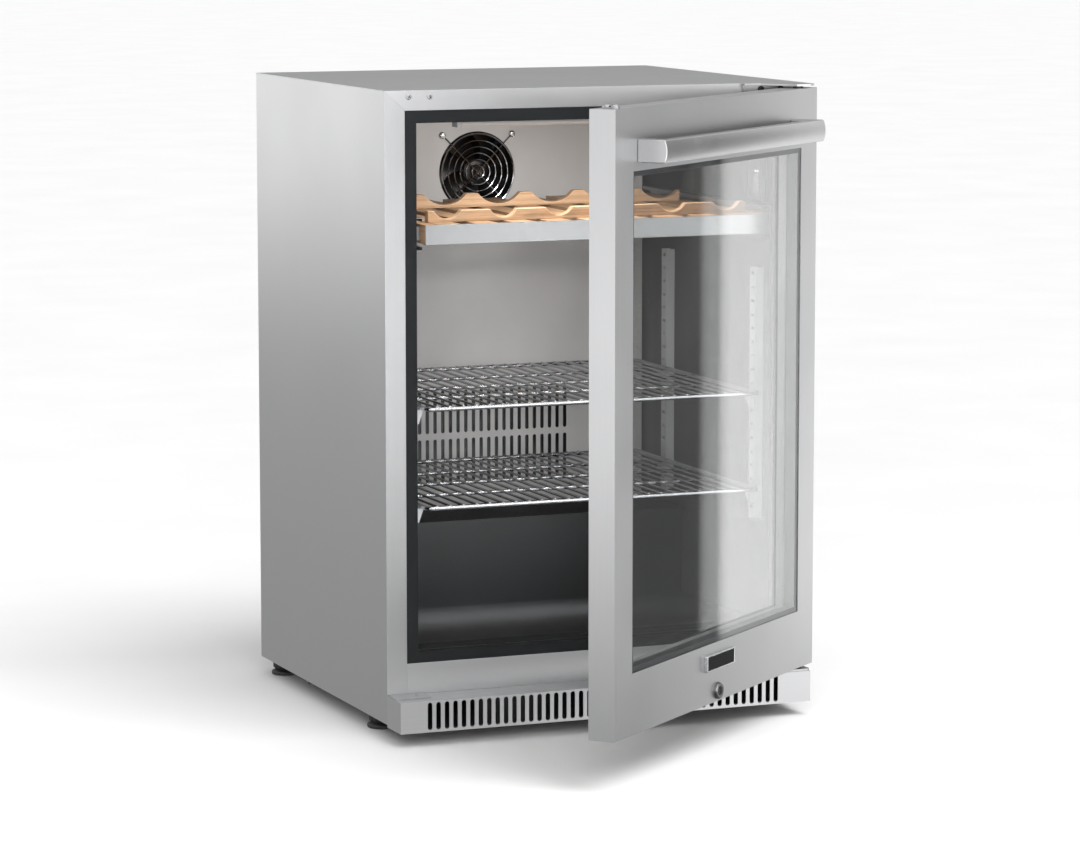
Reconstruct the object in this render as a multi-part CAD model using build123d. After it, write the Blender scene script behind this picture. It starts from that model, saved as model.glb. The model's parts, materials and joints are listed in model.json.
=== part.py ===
from build123d import *
import os

# Undercounter refrigerator with a glass door, in millimetres.
#
# The origin is on the floor, under the middle of the cabinet's front face. X runs across the width,
# the front faces -Y, and Z is up. The door is drawn shut and then swung open by DOOR_AJAR about its
# hinge line.

# ---- driving dimensions ------------------------------------------------------------------------
WIDTH = 595.0            # cabinet, across
DEPTH = 524.0            # front face to back panel, without the door
FOOT_HEIGHT = 22.0       # floor to the underside of the cabinet
HEIGHT = 852.0           # floor to the top of the cabinet
SHEET = 1.0              # outer and inner sheet metal
STILE = 28.0             # front return of the side panels
OPENING_HALF = 253.5     # half width of the cold space
OPENING_LOW = 116.0      # top of the cold space's floor
OPENING_HIGH = 809.5     # underside of its ceiling
TRIM_SIDE = 16.0         # width of the black trim beside the opening
TRIM_LOW = 14.4          # its width below the opening
TRIM_HIGH = 16.5         # and above it
TRIM_DEEP = 14.0
LINER_BACK = 483.0       # back wall of the cold space
COVER_FRONT = 436.0      # front of the evaporator cover
HUMP_FRONT = 300.0       # step over the compressor
HUMP_TOP = 237.0
COMPARTMENT_FRONT = 331.0
COMPARTMENT_TOP = 205.0
UNDERPAN = 76.0          # underside of the insulated floor

DOOR_AJAR = 40.0         # degrees open at rest
HINGE_X = 275.5
HINGE_Y = -33.4
DOOR_FRONT = -51.0
DOOR_BACK = -15.4
DOOR_LOW = 68.1
DOOR_HIGH = 846.7
WINDOW_HALF = 248.5
WINDOW_LOW = 146.2
WINDOW_HIGH = 769.0
GASKET_GAP = 0.3         # left between the gasket and the cabinet when the door is shut

HALF = WIDTH / 2
TRIM_OUT = OPENING_HALF + TRIM_SIDE
TRIM_BOTTOM = OPENING_LOW - TRIM_LOW
TRIM_TOP = OPENING_HIGH + TRIM_HIGH
SCREW_R = 2.5            # shank of the M5 screws
FIT = 0.05               # running clearance, on the radius


# ---- helpers -----------------------------------------------------------------------------------
def box(x0, x1, y0, y1, z0, z1):
    """A block between two corners."""
    return Pos((x0 + x1) / 2, (y0 + y1) / 2, (z0 + z1) / 2) * Box(abs(x1 - x0), abs(y1 - y0), abs(z1 - z0))


def rod_x(x0, x1, y, z, r):
    return Pos((x0 + x1) / 2, y, z) * Rot(0, 90, 0) * Cylinder(r, abs(x1 - x0))


def rod_y(x, y0, y1, z, r):
    return Pos(x, (y0 + y1) / 2, z) * Rot(90, 0, 0) * Cylinder(r, abs(y1 - y0))


def rod_z(x, y, z0, z1, r):
    return Pos(x, y, (z0 + z1) / 2) * Cylinder(r, abs(z1 - z0))


def mirrored(shape):
    """The same shape on the other side of the cabinet."""
    return mirror(shape, about=Plane.YZ)


def prism_y(points, y0, y1):
    """An outline in X and Z, run from y0 to y1."""
    face = Plane.XZ * make_face(Polyline(*points, close=True))
    return Pos(0, y1, 0) * extrude(face, amount=y1 - y0)


def ring(half_out, low_out, high_out, half_in, low_in, high_in, y0, y1):
    """A rectangular frame that faces the front."""
    outer = box(-half_out, half_out, y0, y1, low_out, high_out)
    return outer - box(-half_in, half_in, y0 - 1, y1 + 1, low_in, high_in)


def slot_y(x, z0, z1, y0, y1, width):
    """A cutter for an upright slot with round ends, through a plate that faces the front."""
    r = width / 2
    slot = box(x - r, x + r, y0, y1, z0 + r, z1 - r)
    return slot + rod_y(x, y0, y1, z0 + r, r) + rod_y(x, y0, y1, z1 - r, r)


def swung(shape):
    """The door's pieces are drawn shut, and this turns them to the angle they rest at."""
    here = Pos(HINGE_X, HINGE_Y, 0)
    return here * Rot(0, 0, DOOR_AJAR) * here.inverse() * shape


def save(name, *solids):
    """One node, of one or more separate solids."""
    bodies = [solid for shape in solids for solid in shape.solids()]
    shape = bodies[0] if len(bodies) == 1 else Compound(children=bodies)
    export_step(shape, f"parts/{name}.step")


# ---- outer case --------------------------------------------------------------------------------
PLUG_X = (235.2, 264.2)          # screw holes of the top hinge, and their spare twins
PLUG_Z = 843.8


def side_panel_left():
    """A sheet with a front return, mitred at the top where it meets the top panel's return."""
    sheet = box(-HALF, -HALF + SHEET, 0, DEPTH - SHEET, FOOT_HEIGHT, HEIGHT - SHEET)
    corner = (-HALF, HEIGHT)
    inner = (-HALF + STILE, TRIM_TOP)
    outline = [corner, inner, (-HALF + STILE, FOOT_HEIGHT), (-HALF, FOOT_HEIGHT)]
    return sheet + prism_y(outline, 0, SHEET)


def top_panel():
    """The worktop side: a flat sheet with a mitred front return, drilled for the hinge screws."""
    sheet = box(-HALF, HALF, SHEET, DEPTH, HEIGHT - SHEET, HEIGHT)
    outline = [(-HALF, HEIGHT), (HALF, HEIGHT), (HALF - STILE, TRIM_TOP), (-HALF + STILE, TRIM_TOP)]
    panel = sheet + prism_y(outline, 0, SHEET)
    for x in PLUG_X:
        panel -= rod_y(x, -1, 2, PLUG_Z, SCREW_R + 0.1)
        panel -= rod_y(-x, -1, 2, PLUG_Z, SCREW_R + 0.1)
    return panel


def lower_front_rail():
    """Closes the front below the opening, with a return under the trim."""
    face = box(-TRIM_OUT, TRIM_OUT, 0, SHEET, 60.7, TRIM_BOTTOM)
    lip = box(-TRIM_OUT, TRIM_OUT, SHEET, 18, 60.7, 61.7)
    return face + lip


GRILLE_SCREWS = [(x, z) for x in (-285, 285) for z in (34, 196)]


def rear_grille():
    """The lower back plate, louvred for the condenser's air, with a window for the mains inlet."""
    plate = box(-HALF + SHEET, HALF - SHEET, DEPTH - SHEET, DEPTH, 24, COMPARTMENT_TOP)
    for column in range(30):
        x = -168 + column * 14
        plate -= slot_y(x, 45, 110, DEPTH - 3, DEPTH + 1, 6)
        plate -= slot_y(x, 120, 185, DEPTH - 3, DEPTH + 1, 6)
    plate -= box(-258, -222, DEPTH - 3, DEPTH + 1, 42, 68)
    for x, z in GRILLE_SCREWS:
        plate -= rod_y(x, DEPTH - 3, DEPTH + 1, z, 2.1)
    return plate


def back_panel():
    return box(-HALF + SHEET, HALF - SHEET, DEPTH - SHEET, DEPTH, COMPARTMENT_TOP + 1, HEIGHT - SHEET)


FOOT_X = 272.5
FOOT_Y = (92.0, 492.0)
STUD_R = 5.0


DRAIN_AT = (-283.0, 330.0)


def base_pan():
    """The black bottom pan, bored for the foot studs, with a front apron under the toe-kick and a drain spigot."""
    pan = box(-HALF + SHEET, HALF - SHEET, SHEET, DEPTH - SHEET, FOOT_HEIGHT, FOOT_HEIGHT + 1.5)
    tongue = HALF - STILE - 0.5
    pan += box(-tongue, tongue, -0.5, 2 * SHEET, FOOT_HEIGHT, FOOT_HEIGHT + 1.5)
    pan += box(TOE_LEFT + 1.5, TOE_RIGHT - 1.5, DOOR_FRONT + 1.5, -0.3, FOOT_HEIGHT, FOOT_HEIGHT + 1.5)
    for x in (-FOOT_X, FOOT_X):
        for y in FOOT_Y:
            pan -= rod_z(x, y, FOOT_HEIGHT - 1, FOOT_HEIGHT + 3, STUD_R + FIT)
    spigot = rod_z(*DRAIN_AT, FOOT_HEIGHT - 5, FOOT_HEIGHT, 11)
    return pan + spigot - rod_z(*DRAIN_AT, FOOT_HEIGHT - 6, FOOT_HEIGHT + 3, 7)


def underpan():
    """A stepped sheet under the insulation, and the roof of the compressor space."""
    wide = HALF - SHEET
    floor = box(-wide, wide, 18, COMPARTMENT_FRONT + SHEET, UNDERPAN, UNDERPAN + SHEET)
    wall = box(-wide, wide, COMPARTMENT_FRONT, COMPARTMENT_FRONT + SHEET, UNDERPAN, COMPARTMENT_TOP)
    roof = box(-wide, wide, COMPARTMENT_FRONT, DEPTH - SHEET, COMPARTMENT_TOP - SHEET, COMPARTMENT_TOP)
    return floor + wall + roof


def foam():
    """The polyurethane slabs between the case and the liner."""
    wide = HALF - SHEET
    inner = OPENING_HALF + SHEET
    front = TRIM_DEEP + 4
    back = DEPTH - SHEET
    side = box(-wide, -inner, front, back, COMPARTMENT_TOP, HEIGHT - SHEET)
    side_low = box(-wide, -inner, front, COMPARTMENT_FRONT, UNDERPAN + SHEET, COMPARTMENT_TOP)
    side = side + side_low
    roof = box(-inner, inner, front, back, OPENING_HIGH + SHEET, HEIGHT - SHEET)
    floor = box(-inner, inner, front, HUMP_FRONT + SHEET, UNDERPAN + SHEET, OPENING_LOW - SHEET)
    riser = box(-OPENING_HALF, OPENING_HALF, HUMP_FRONT + SHEET, COMPARTMENT_FRONT,
                UNDERPAN + SHEET, HUMP_TOP - SHEET)
    shelf = box(-OPENING_HALF, OPENING_HALF, COMPARTMENT_FRONT, LINER_BACK, COMPARTMENT_TOP,
                HUMP_TOP - SHEET)
    rear = box(-inner, inner, LINER_BACK + SHEET, back, COMPARTMENT_TOP, OPENING_HIGH)
    return [side, mirrored(side), roof, floor, riser, shelf, rear]


def opening_trim():
    """The black breaker frame that the gasket seals against."""
    return ring(TRIM_OUT, TRIM_BOTTOM, TRIM_TOP, OPENING_HALF, OPENING_LOW, OPENING_HIGH, 0, TRIM_DEEP)


def liner_walls():
    """Left and right walls, ceiling and back wall of the cold space."""
    x = -OPENING_HALF
    left = box(x - SHEET, x, TRIM_DEEP, LINER_BACK, HUMP_TOP - SHEET, OPENING_HIGH)
    left += box(x - SHEET, x, TRIM_DEEP, HUMP_FRONT + SHEET, OPENING_LOW, HUMP_TOP - SHEET)
    ceiling = box(-OPENING_HALF, OPENING_HALF, TRIM_DEEP, LINER_BACK, OPENING_HIGH, OPENING_HIGH + SHEET)
    back = box(-OPENING_HALF, OPENING_HALF, LINER_BACK, LINER_BACK + SHEET, HUMP_TOP, OPENING_HIGH)
    return [left, mirrored(left), ceiling, back]


def liner_floor():
    return box(-OPENING_HALF, OPENING_HALF, TRIM_DEEP, HUMP_FRONT, OPENING_LOW - SHEET, OPENING_LOW)


def compressor_hump():
    riser = box(-OPENING_HALF, OPENING_HALF, HUMP_FRONT, HUMP_FRONT + SHEET, OPENING_LOW, HUMP_TOP)
    top = box(-OPENING_HALF, OPENING_HALF, HUMP_FRONT, LINER_BACK, HUMP_TOP - SHEET, HUMP_TOP)
    return riser + top


TOE_LEFT, TOE_RIGHT = -HALF, 292.5
TOE_LOW, TOE_HIGH = 19.0, 60.7
SLOT_COUNT, SLOT_PITCH, SLOT_FIRST = 43, 11.85, -256.8
TONGUE_SLOT = (-8.0, 29.0, -28.0, -18.5)      # where the lock's tongue drops into the toe-kick


def toe_kick_grille():
    """The stainless air inlet under the door: a shallow box, open behind, with upright slots."""
    kick = box(TOE_LEFT, TOE_RIGHT, DOOR_FRONT, 0, TOE_LOW, TOE_HIGH)
    kick -= box(TOE_LEFT + 1, TOE_RIGHT - 1, DOOR_FRONT + 1, 1, TOE_LOW - 1, TOE_HIGH - 1)
    for i in range(SLOT_COUNT):
        kick -= slot_y(SLOT_FIRST + i * SLOT_PITCH, 22, 58.4, DOOR_FRONT - 1, DOOR_FRONT + 3, 6.4)
    x0, x1, y0, y1 = TONGUE_SLOT
    kick -= box(x0, x1, y0, y1, TOE_HIGH - 3, TOE_HIGH + 1)
    return kick


# ---- hinges ------------------------------------------------------------------------------------
PIN_R = 4.0
BUSH_R = 7.0
BUSH_LONG = 25.0
PLATE_TOP_Z = (849.5, HEIGHT)
PLATE_LOW_Z = (TOE_HIGH, TOE_HIGH + 3.0)


def hinge_bracket_top():
    """An angle screwed to the front of the case, whose flat reaches out over the door's corner."""
    z0, z1 = PLATE_TOP_Z
    flat = make_face(Polyline((208.9, 0), (296, 0), (296, -40), (286, -50), (266, -50), (232, -8),
                              (208.9, -8), close=True))
    bracket = Pos(0, 0, z0) * extrude(flat, amount=z1 - z0)
    bracket += box(208.9, 296, -2.5, 0, 841.3, z1)
    for x in PLUG_X:
        bracket -= rod_y(x, -4, 1, PLUG_Z, SCREW_R + 0.1)
    return bracket


PLATE_SCREW = (-262.4, -14.8)


def bottom_plate(x0, x1, y0, thick):
    """A hinge plate lying on the toe-kick, with its inner corners rounded off."""
    plate = box(x0, x1, y0, -0.2, TOE_HIGH, TOE_HIGH + thick)
    return fillet(plate.edges().filter_by(Axis.Z), 4)


def hinge_pins():
    top = rod_z(HINGE_X, HINGE_Y, DOOR_HIGH - BUSH_LONG + 1, PLATE_TOP_Z[0], PIN_R)
    low = rod_z(HINGE_X, HINGE_Y, PLATE_LOW_Z[1], DOOR_LOW + BUSH_LONG - 1, PIN_R)
    return [top, low]


def hinge_bushes():
    """Two nylon bushes let into the door, and the washer it turns on."""
    bore = rod_z(HINGE_X, HINGE_Y, 0, HEIGHT, PIN_R + FIT)
    top = rod_z(HINGE_X, HINGE_Y, DOOR_HIGH - BUSH_LONG, DOOR_HIGH + 1.5, BUSH_R) - bore
    low = rod_z(HINGE_X, HINGE_Y, DOOR_LOW, DOOR_LOW + BUSH_LONG, BUSH_R)
    washer = rod_z(HINGE_X, HINGE_Y, PLATE_LOW_Z[1] + 0.3, DOOR_LOW, 11)
    return [top, low + washer - bore]


def screw_y(x, y, z, r_head, head, shank, inward=1):
    """A pan-head screw facing the front (inward=1) or the back (inward=-1); y is under its head."""
    cap = rod_y(x, y, y - inward * head, z, r_head)
    cap = fillet(cap.edges().sort_by(Axis.Y)[0 if inward > 0 else -1], head * 0.45)
    return cap + rod_y(x, y, y + inward * shank, z, SCREW_R * 0.8)


def case_screws():
    """Hinge screws, fan guard screws, rear grille screws and the plugs in the spare hinge holes."""
    hinge = [screw_y(x, -2.5, PLUG_Z, 4.4, 2.6, 9) for x in PLUG_X]
    plugs = [screw_y(-x, 0, PLUG_Z, 4.0, 1.6, 6) for x in PLUG_X]
    guard = [screw_y(FAN_X + sx * FAN_HOLES, COVER_FRONT - 2.85, FAN_Z + sz * FAN_HOLES, 3.6, 1.8, 8)
             for sx in (-1, 1) for sz in (-1, 1)]
    grille = [screw_y(x, DEPTH, z, 4.0, 2.2, 6, -1) for x, z in GRILLE_SCREWS]
    return hinge + plugs + guard + grille


# ---- cold space fittings -----------------------------------------------------------------------
PILASTER_PROUD = 12.5
PILASTER_FACE = OPENING_HALF - PILASTER_PROUD
PILASTER_Y = (34.0, 329.0)
PILASTER_WIDE = 17.0
PILASTER_LOW, PILASTER_HIGH = 260.0, 602.0
HOLE_PITCH = 18.7
SHELF_Z = (434.5, 434.5 - 7 * HOLE_PITCH)       # centre of the frame wire, upper and lower shelf
SHELF_HALF = 238.4
SHELF_FRONT, SHELF_BACK = 6.0, 424.0
FRAME_R, WIRE_R = 3.0, 1.7
WIRE_COUNT, WIRE_PITCH = 25, 18.6


def pilaster(y):
    """A hat strip on the right wall, slotted for the shelf clips."""
    x0, x1 = PILASTER_FACE, OPENING_HALF
    strip = box(x0, x1, y, y + PILASTER_WIDE, PILASTER_LOW, PILASTER_HIGH)
    strip -= box(x0 + 1.2, x1 + 1, y + 1.2, y + PILASTER_WIDE - 1.2, PILASTER_LOW - 1, PILASTER_HIGH + 1)
    middle = y + PILASTER_WIDE / 2
    z = SHELF_Z[0] - 9 * HOLE_PITCH - 9
    while z < PILASTER_HIGH - 8:
        if z > PILASTER_LOW + 6:
            strip -= box(x0 - 1, x0 + 2, middle - 4, middle + 4, z - 2.2, z + 2.2)
        z += HOLE_PITCH
    return strip


def shelf_clip(y, z):
    """A pressed clip on the right wall; z is its flat top, under the shelf's frame wire."""
    middle = y + PILASTER_WIDE / 2
    face = PILASTER_FACE
    outline = [(face, z), (face - 8.5, z), (face - 8.5, z - 3), (face - 3, z - 19), (face, z - 19)]
    return prism_y(outline, middle - 5.5, middle + 5.5)


def frame_wire(x_half, y0, y1, z, r, corner):
    """A closed loop of round wire lying flat, with rounded corners."""
    path = Plane.XY.offset(z) * Pos(0, (y0 + y1) / 2) * RectangleRounded(2 * x_half, y1 - y0, corner)
    wire = path.face().outer_wire()
    start = wire.edges()[0]
    section = Plane(start @ 0, z_dir=start % 0) * Circle(r)
    return sweep(section, path=wire, transition=Transition.ROUND)


def wire_shelf(z):
    """Frame wire, three cross bars under it, and the close front-to-back wires welded on top."""
    shelf = frame_wire(SHELF_HALF - FRAME_R, SHELF_FRONT + FRAME_R, SHELF_BACK - FRAME_R, z, FRAME_R, 10)
    bars = [rod_x(-SHELF_HALF + FRAME_R, SHELF_HALF - FRAME_R, y, z, 2.4) for y in (120, 215, 310)]
    top = z + FRAME_R - 0.6
    wires = []
    for i in range(WIRE_COUNT):
        x = (i - (WIRE_COUNT - 1) / 2) * WIRE_PITCH
        wires.append(rod_y(x, SHELF_FRONT + 2.4, SHELF_BACK - 2.4, top, WIRE_R))
    return shelf + bars + wires


RAIL_FRONT, RAIL_BACK = 12.0, 412.0
RAIL_LOW, RAIL_HIGH = 642.5, 686.0
RAIL_PROUD = 13.0
RAIL_SHEET = 1.2


def wine_rail():
    """The C channel on the right wall that the wine shelf slides in."""
    x1 = OPENING_HALF
    x0 = x1 - RAIL_PROUD
    t = RAIL_SHEET
    web = box(x1 - t, x1, RAIL_FRONT, RAIL_BACK, RAIL_LOW, RAIL_HIGH)
    low = box(x0, x1, RAIL_FRONT, RAIL_BACK, RAIL_LOW, RAIL_LOW + t)
    high = box(x0, x1, RAIL_FRONT, RAIL_BACK, RAIL_HIGH - t, RAIL_HIGH)
    lip_low = box(x0, x0 + t, RAIL_FRONT, RAIL_BACK, RAIL_LOW, RAIL_LOW + 5)
    lip_high = box(x0, x0 + t, RAIL_FRONT, RAIL_BACK, RAIL_HIGH - 5, RAIL_HIGH)
    rail = web + low + high + lip_low + lip_high
    for y in (40, 380):
        rail += rod_x(x1 - t - 1.4, x1 - t, y, (RAIL_LOW + RAIL_HIGH) / 2, 3.5)
    return rail


WINE_HALF = 242.4
WINE_FRONT = -2.5
WINE_LOW, WINE_HIGH = 652.3, 677.3
WINE_BACK = 395.0
WOOD = 16.0
BOTTLE_PITCH = 79.0


def wine_fascia():
    plate = box(-WINE_HALF, WINE_HALF, WINE_FRONT, WINE_FRONT + 2.4, WINE_LOW, WINE_HIGH)
    hem_low = box(-WINE_HALF, WINE_HALF, WINE_FRONT, 8, WINE_LOW - 1, WINE_LOW)
    return plate + hem_low


def wine_frame():
    """Two wooden sides and the front and rear bars between them."""
    y0 = WINE_FRONT + 2.4
    side = box(-WINE_HALF, -WINE_HALF + WOOD, y0, WINE_BACK, WINE_LOW, WINE_HIGH)
    front = box(-WINE_HALF + WOOD, WINE_HALF - WOOD, y0, y0 + WOOD, WINE_LOW, WINE_HIGH - 8)
    rear = box(-WINE_HALF + WOOD, WINE_HALF - WOOD, WINE_BACK - WOOD, WINE_BACK, WINE_LOW, WINE_HIGH - 8)
    return [side, mirrored(side), front, rear]


def wine_slats():
    """Slats from front to back, resting on the two bars."""
    span = 2 * (WINE_HALF - WOOD)
    count = 9
    wide = 32.0
    pitch = (span - wide - 6) / (count - 1)
    slats = []
    for i in range(count):
        x = -span / 2 + 3 + wide / 2 + i * pitch
        slat = box(x - wide / 2, x + wide / 2, WINE_FRONT + 3, WINE_BACK - 1, WINE_HIGH - 8, WINE_HIGH)
        slats.append(slat)
    return slats


def wine_cradle(y, radius, depth):
    """A board across the slats, scalloped for six bottles lying side by side."""
    top = WINE_HIGH + 4 + depth
    board = box(-WINE_HALF + WOOD + 1, WINE_HALF - WOOD - 1, y, y + 12, WINE_HIGH, top)
    for i in range(6):
        x = (i - 2.5) * BOTTLE_PITCH
        board -= rod_y(x, y - 1, y + 13, WINE_HIGH + 4 + radius, radius)
    return board


def wine_runner():
    """A steel slide bar on the shelf's right side, with two nylon pads that run in the channel."""
    x0 = WINE_HALF
    bar = box(x0, x0 + 7, 18, 390, 656, 674)
    pads = [box(x0 + 1, x0 + 6.5, y, y + 30, RAIL_LOW + RAIL_SHEET + 0.1, 656) for y in (30, 340)]
    return bar + pads


# ---- evaporator --------------------------------------------------------------------------------
FAN_X, FAN_Z = 0.0, 711.0
FAN_HOLES = 52.5
FAN_SIZE = 120.0
FAN_BORE = 57.0
ROTOR_R = 54.5
HUB_R = 19.0
SHAFT_R = 2.0


def evaporator_cover():
    """The sheet in front of the coil, with the fan opening above and two rows of air slots."""
    cover = box(-250, 250, COVER_FRONT, COVER_FRONT + 1, HUMP_TOP + 0.3, OPENING_HIGH - 0.3)
    cover -= rod_y(FAN_X, COVER_FRONT - 1, COVER_FRONT + 2, FAN_Z, FAN_BORE)
    for i in range(24):
        x = (i - 11.5) * 11.7
        cover -= slot_y(x, 340.7, 402, COVER_FRONT - 1, COVER_FRONT + 2, 5.4)
        cover -= slot_y(x, 271, 332.5, COVER_FRONT - 1, COVER_FRONT + 2, 5.4)
    for sx in (-1, 1):
        for sz in (-1, 1):
            cover -= rod_y(FAN_X + sx * FAN_HOLES, COVER_FRONT - 1, COVER_FRONT + 2,
                           FAN_Z + sz * FAN_HOLES, 2.2)
    return cover


def evaporator_coil():
    """A finned block between two end plates, with a drain trough under it."""
    fins = box(-128, 128, 443, 478, 432, 628)
    for i in range(21):
        x = -122 + i * 12.2
        fins -= box(x - 1.6, x + 1.6, 441, 462, 431, 629)
    left = box(-131, -128, 441, 480, 428, 632)
    trough = box(-135, 135, 440, 481, 412, 422) - box(-133, 133, 442, 479, 414, 423)
    return [fins + left + mirrored(left), trough]


def fan_frame(depth):
    """A square fan housing lying on its back at the origin: bore along Z, spider at the rear."""
    frame = Box(FAN_SIZE, FAN_SIZE, depth) - Cylinder(FAN_BORE, depth + 2)
    z = depth / 2 - 1.25
    for turn in (45, 135):
        frame += Pos(0, 0, z) * Rot(0, 0, turn) * Box(2 * FAN_BORE + 3, 5, 2.5)
    frame += Pos(0, 0, z) * Cylinder(HUB_R, 2.5)
    frame += Pos(0, 0, z - 7) * Cylinder(SHAFT_R, 14)
    for sx in (-1, 1):
        for sy in (-1, 1):
            frame -= Pos(sx * FAN_HOLES, sy * FAN_HOLES, 0) * Cylinder(2.2, depth + 2)
    return frame


def fan_rotor(depth):
    """Seven twisted blades round a hub that turns on the housing's shaft."""
    front = -depth / 2 + 2.5
    rear = depth / 2 - 3.2
    hub = Pos(0, 0, (front + rear) / 2) * Cylinder(HUB_R, rear - front)
    blade = Pos((HUB_R + ROTOR_R) / 2 - 1.5, 0, (front + rear) / 2) * Rot(32, 0, 0)
    blade = blade * Box(ROTOR_R - HUB_R + 1, 30, 1.6)
    keep = Pos(0, 0, (front + rear) / 2) * Cylinder(ROTOR_R, rear - front)
    rotor = hub
    for i in range(7):
        rotor += Rot(0, 0, i * 360 / 7) * blade
    return (rotor & keep) - Cylinder(SHAFT_R + FIT, depth + 2)


EVAP_FAN_DEEP = 25.0


def in_evaporator(shape):
    """Stands a fan up behind the evaporator cover, blowing to the front."""
    return Pos(FAN_X, COVER_FRONT + 1.2 + EVAP_FAN_DEEP / 2, FAN_Z) * Rot(-90, 0, 0) * shape


def fan_guard():
    """A wire finger guard: rings on four diagonal struts that end in screw eyes."""
    y = COVER_FRONT - 4.6
    reach = FAN_HOLES * 2 ** 0.5 - 4.4
    half = 1.1
    guard = Cylinder(9, 2 * half)
    for r in (18, 27, 36, 45, 54):
        guard += Cylinder(r + half, 2 * half) - Cylinder(r - half, 3 * half)
    for turn in (45, 135, 225, 315):
        strut = box(6, reach, -half, half, -half, half) + box(reach - 2.2, reach, -half, half, -half, 3.4)
        eye = Pos(reach + 4.4, 0, 2.9) * (Cylinder(5, 2 * half) - Cylinder(2.3, 3 * half))
        guard += Rot(0, 0, turn) * (strut + eye)
    return Pos(FAN_X, y, FAN_Z) * Rot(-90, 0, 0) * guard


# ---- controls and light ------------------------------------------------------------------------
PANEL_FACE = 247.5
PANEL_Y = (31.0, 74.0)
PANEL_Z = (692.0, 790.0)
BUTTON_Y = 46.5
BUTTON_Z = [724.5 - i * 6.4 for i in range(4)]
BUTTON_LONG, BUTTON_TALL = 12.0, 4.6
LED_Z = 731.5
LED_Y = (42.5, 50.5)


def pill(x0, x1, y, z, long, tall):
    """A button cap or its hole: a bar along Y with round ends, from x0 to x1."""
    r = tall / 2
    bar = box(x0, x1, y - long / 2 + r, y + long / 2 - r, z - r, z + r)
    return bar + rod_x(x0, x1, y - long / 2 + r, z, r) + rod_x(x0, x1, y + long / 2 - r, z, r)


def control_panel():
    """A moulded cover on the right wall, hollow behind, pierced for four buttons and two lights."""
    panel = box(PANEL_FACE, OPENING_HALF, *PANEL_Y, *PANEL_Z)
    panel = fillet(panel.edges().group_by(Axis.X)[0], 1.2)
    panel -= box(PANEL_FACE + 1.5, OPENING_HALF + 1, PANEL_Y[0] + 2, PANEL_Y[1] - 2,
                 PANEL_Z[0] + 2, PANEL_Z[1] - 2)
    for z in BUTTON_Z:
        panel -= pill(PANEL_FACE - 1, PANEL_FACE + 2, BUTTON_Y, z, BUTTON_LONG, BUTTON_TALL)
    for y in LED_Y:
        panel -= rod_x(PANEL_FACE - 1, PANEL_FACE + 2, y, LED_Z, 1.8)
    return panel


def control_button(z):
    """A cap that stands 1 mm proud and is held in by a wider foot."""
    cap = pill(PANEL_FACE - 1, PANEL_FACE + 2.6, BUTTON_Y, z, BUTTON_LONG - 0.4, BUTTON_TALL - 0.4)
    foot = box(PANEL_FACE + 1.6, PANEL_FACE + 2.6, BUTTON_Y - 7, BUTTON_Y + 7, z - 2.6, z + 2.6)
    return cap + foot


def indicator_leds():
    return [rod_x(PANEL_FACE - 0.4, PANEL_FACE + 3, y, LED_Z, 1.6) for y in LED_Y]


def interior_light():
    """A low strip under the ceiling, just behind the trim."""
    strip = box(-190, 190, 18, 38, OPENING_HIGH - 8, OPENING_HIGH)
    return fillet(strip.edges().group_by(Axis.Z)[0], 2.5)


# ---- machinery ---------------------------------------------------------------------------------
PAN_TOP = FOOT_HEIGHT + 1.5
COMPRESSOR_AT = (-70.0, 430.0)
COND_FAN_DEEP = 25.0
COND_FAN_AT = (128.0, 430.0, 106.0)


def compressor():
    """A hermetic can on a plate with four rubber mounts, and its terminal cover."""
    x, y = COMPRESSOR_AT
    can = rod_z(x, y, PAN_TOP + 14, PAN_TOP + 152, 68)
    can = fillet(can.edges().filter_by(GeomType.CIRCLE), 22)
    band = rod_z(x, y, PAN_TOP + 84, PAN_TOP + 90, 70)
    plate = box(x - 85, x + 85, y - 55, y + 55, PAN_TOP + 12, PAN_TOP + 15)
    mounts = [rod_z(x + sx * 74, y + sy * 44, PAN_TOP, PAN_TOP + 12, 9) for sx in (-1, 1) for sy in (-1, 1)]
    cover = box(x - 92, x - 60, y - 28, y + 28, PAN_TOP + 50, PAN_TOP + 105)
    return can + band + plate + mounts + cover


def condenser():
    """A finned block with its feet on the pan, and the filter drier strapped beside it."""
    block = box(190, 246, 350, 510, PAN_TOP + 8, PAN_TOP + 168)
    for i in range(15):
        y = 356 + i * 10.6
        block -= box(189, 226, y - 1.4, y + 1.4, PAN_TOP + 7, PAN_TOP + 169)
    for y in (350, 500):
        block += box(190, 246, y, y + 10, PAN_TOP, PAN_TOP + 8)
    drier = rod_z(268, 400, PAN_TOP + 20, PAN_TOP + 120, 9)
    drier = fillet(drier.edges().filter_by(GeomType.CIRCLE), 6)
    strap = box(246, 262, 394, 406, PAN_TOP + 60, PAN_TOP + 70)
    return block + drier + strap


def in_compartment(shape):
    """Stands a fan between the condenser and the compressor, blowing to the left."""
    return Pos(*COND_FAN_AT) * Rot(0, 90, 0) * shape


def condenser_fan_frame():
    x, y, z = COND_FAN_AT
    feet = [box(x - 12, x + 12, y + s * 50 - 6, y + s * 50 + 6, PAN_TOP, z - FAN_SIZE / 2) for s in (-1, 1)]
    return in_compartment(fan_frame(COND_FAN_DEEP)) + feet


def controller_box():
    """The relay box, with the mains inlet looking out through the rear grille."""
    case = box(-262, -178, 380, 505, PAN_TOP, 110)
    case = fillet(case.edges().filter_by(Axis.Z), 4)
    inlet = box(-257, -223, 505, DEPTH, 43, 67)
    inlet -= box(-253, -227, 512, DEPTH + 1, 47, 63)
    for x, z in ((-247, 53), (-240, 57), (-233, 53)):
        inlet += box(x - 1, x + 1, 511, DEPTH - 5, z - 2, z + 2)
    return case + inlet


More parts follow.
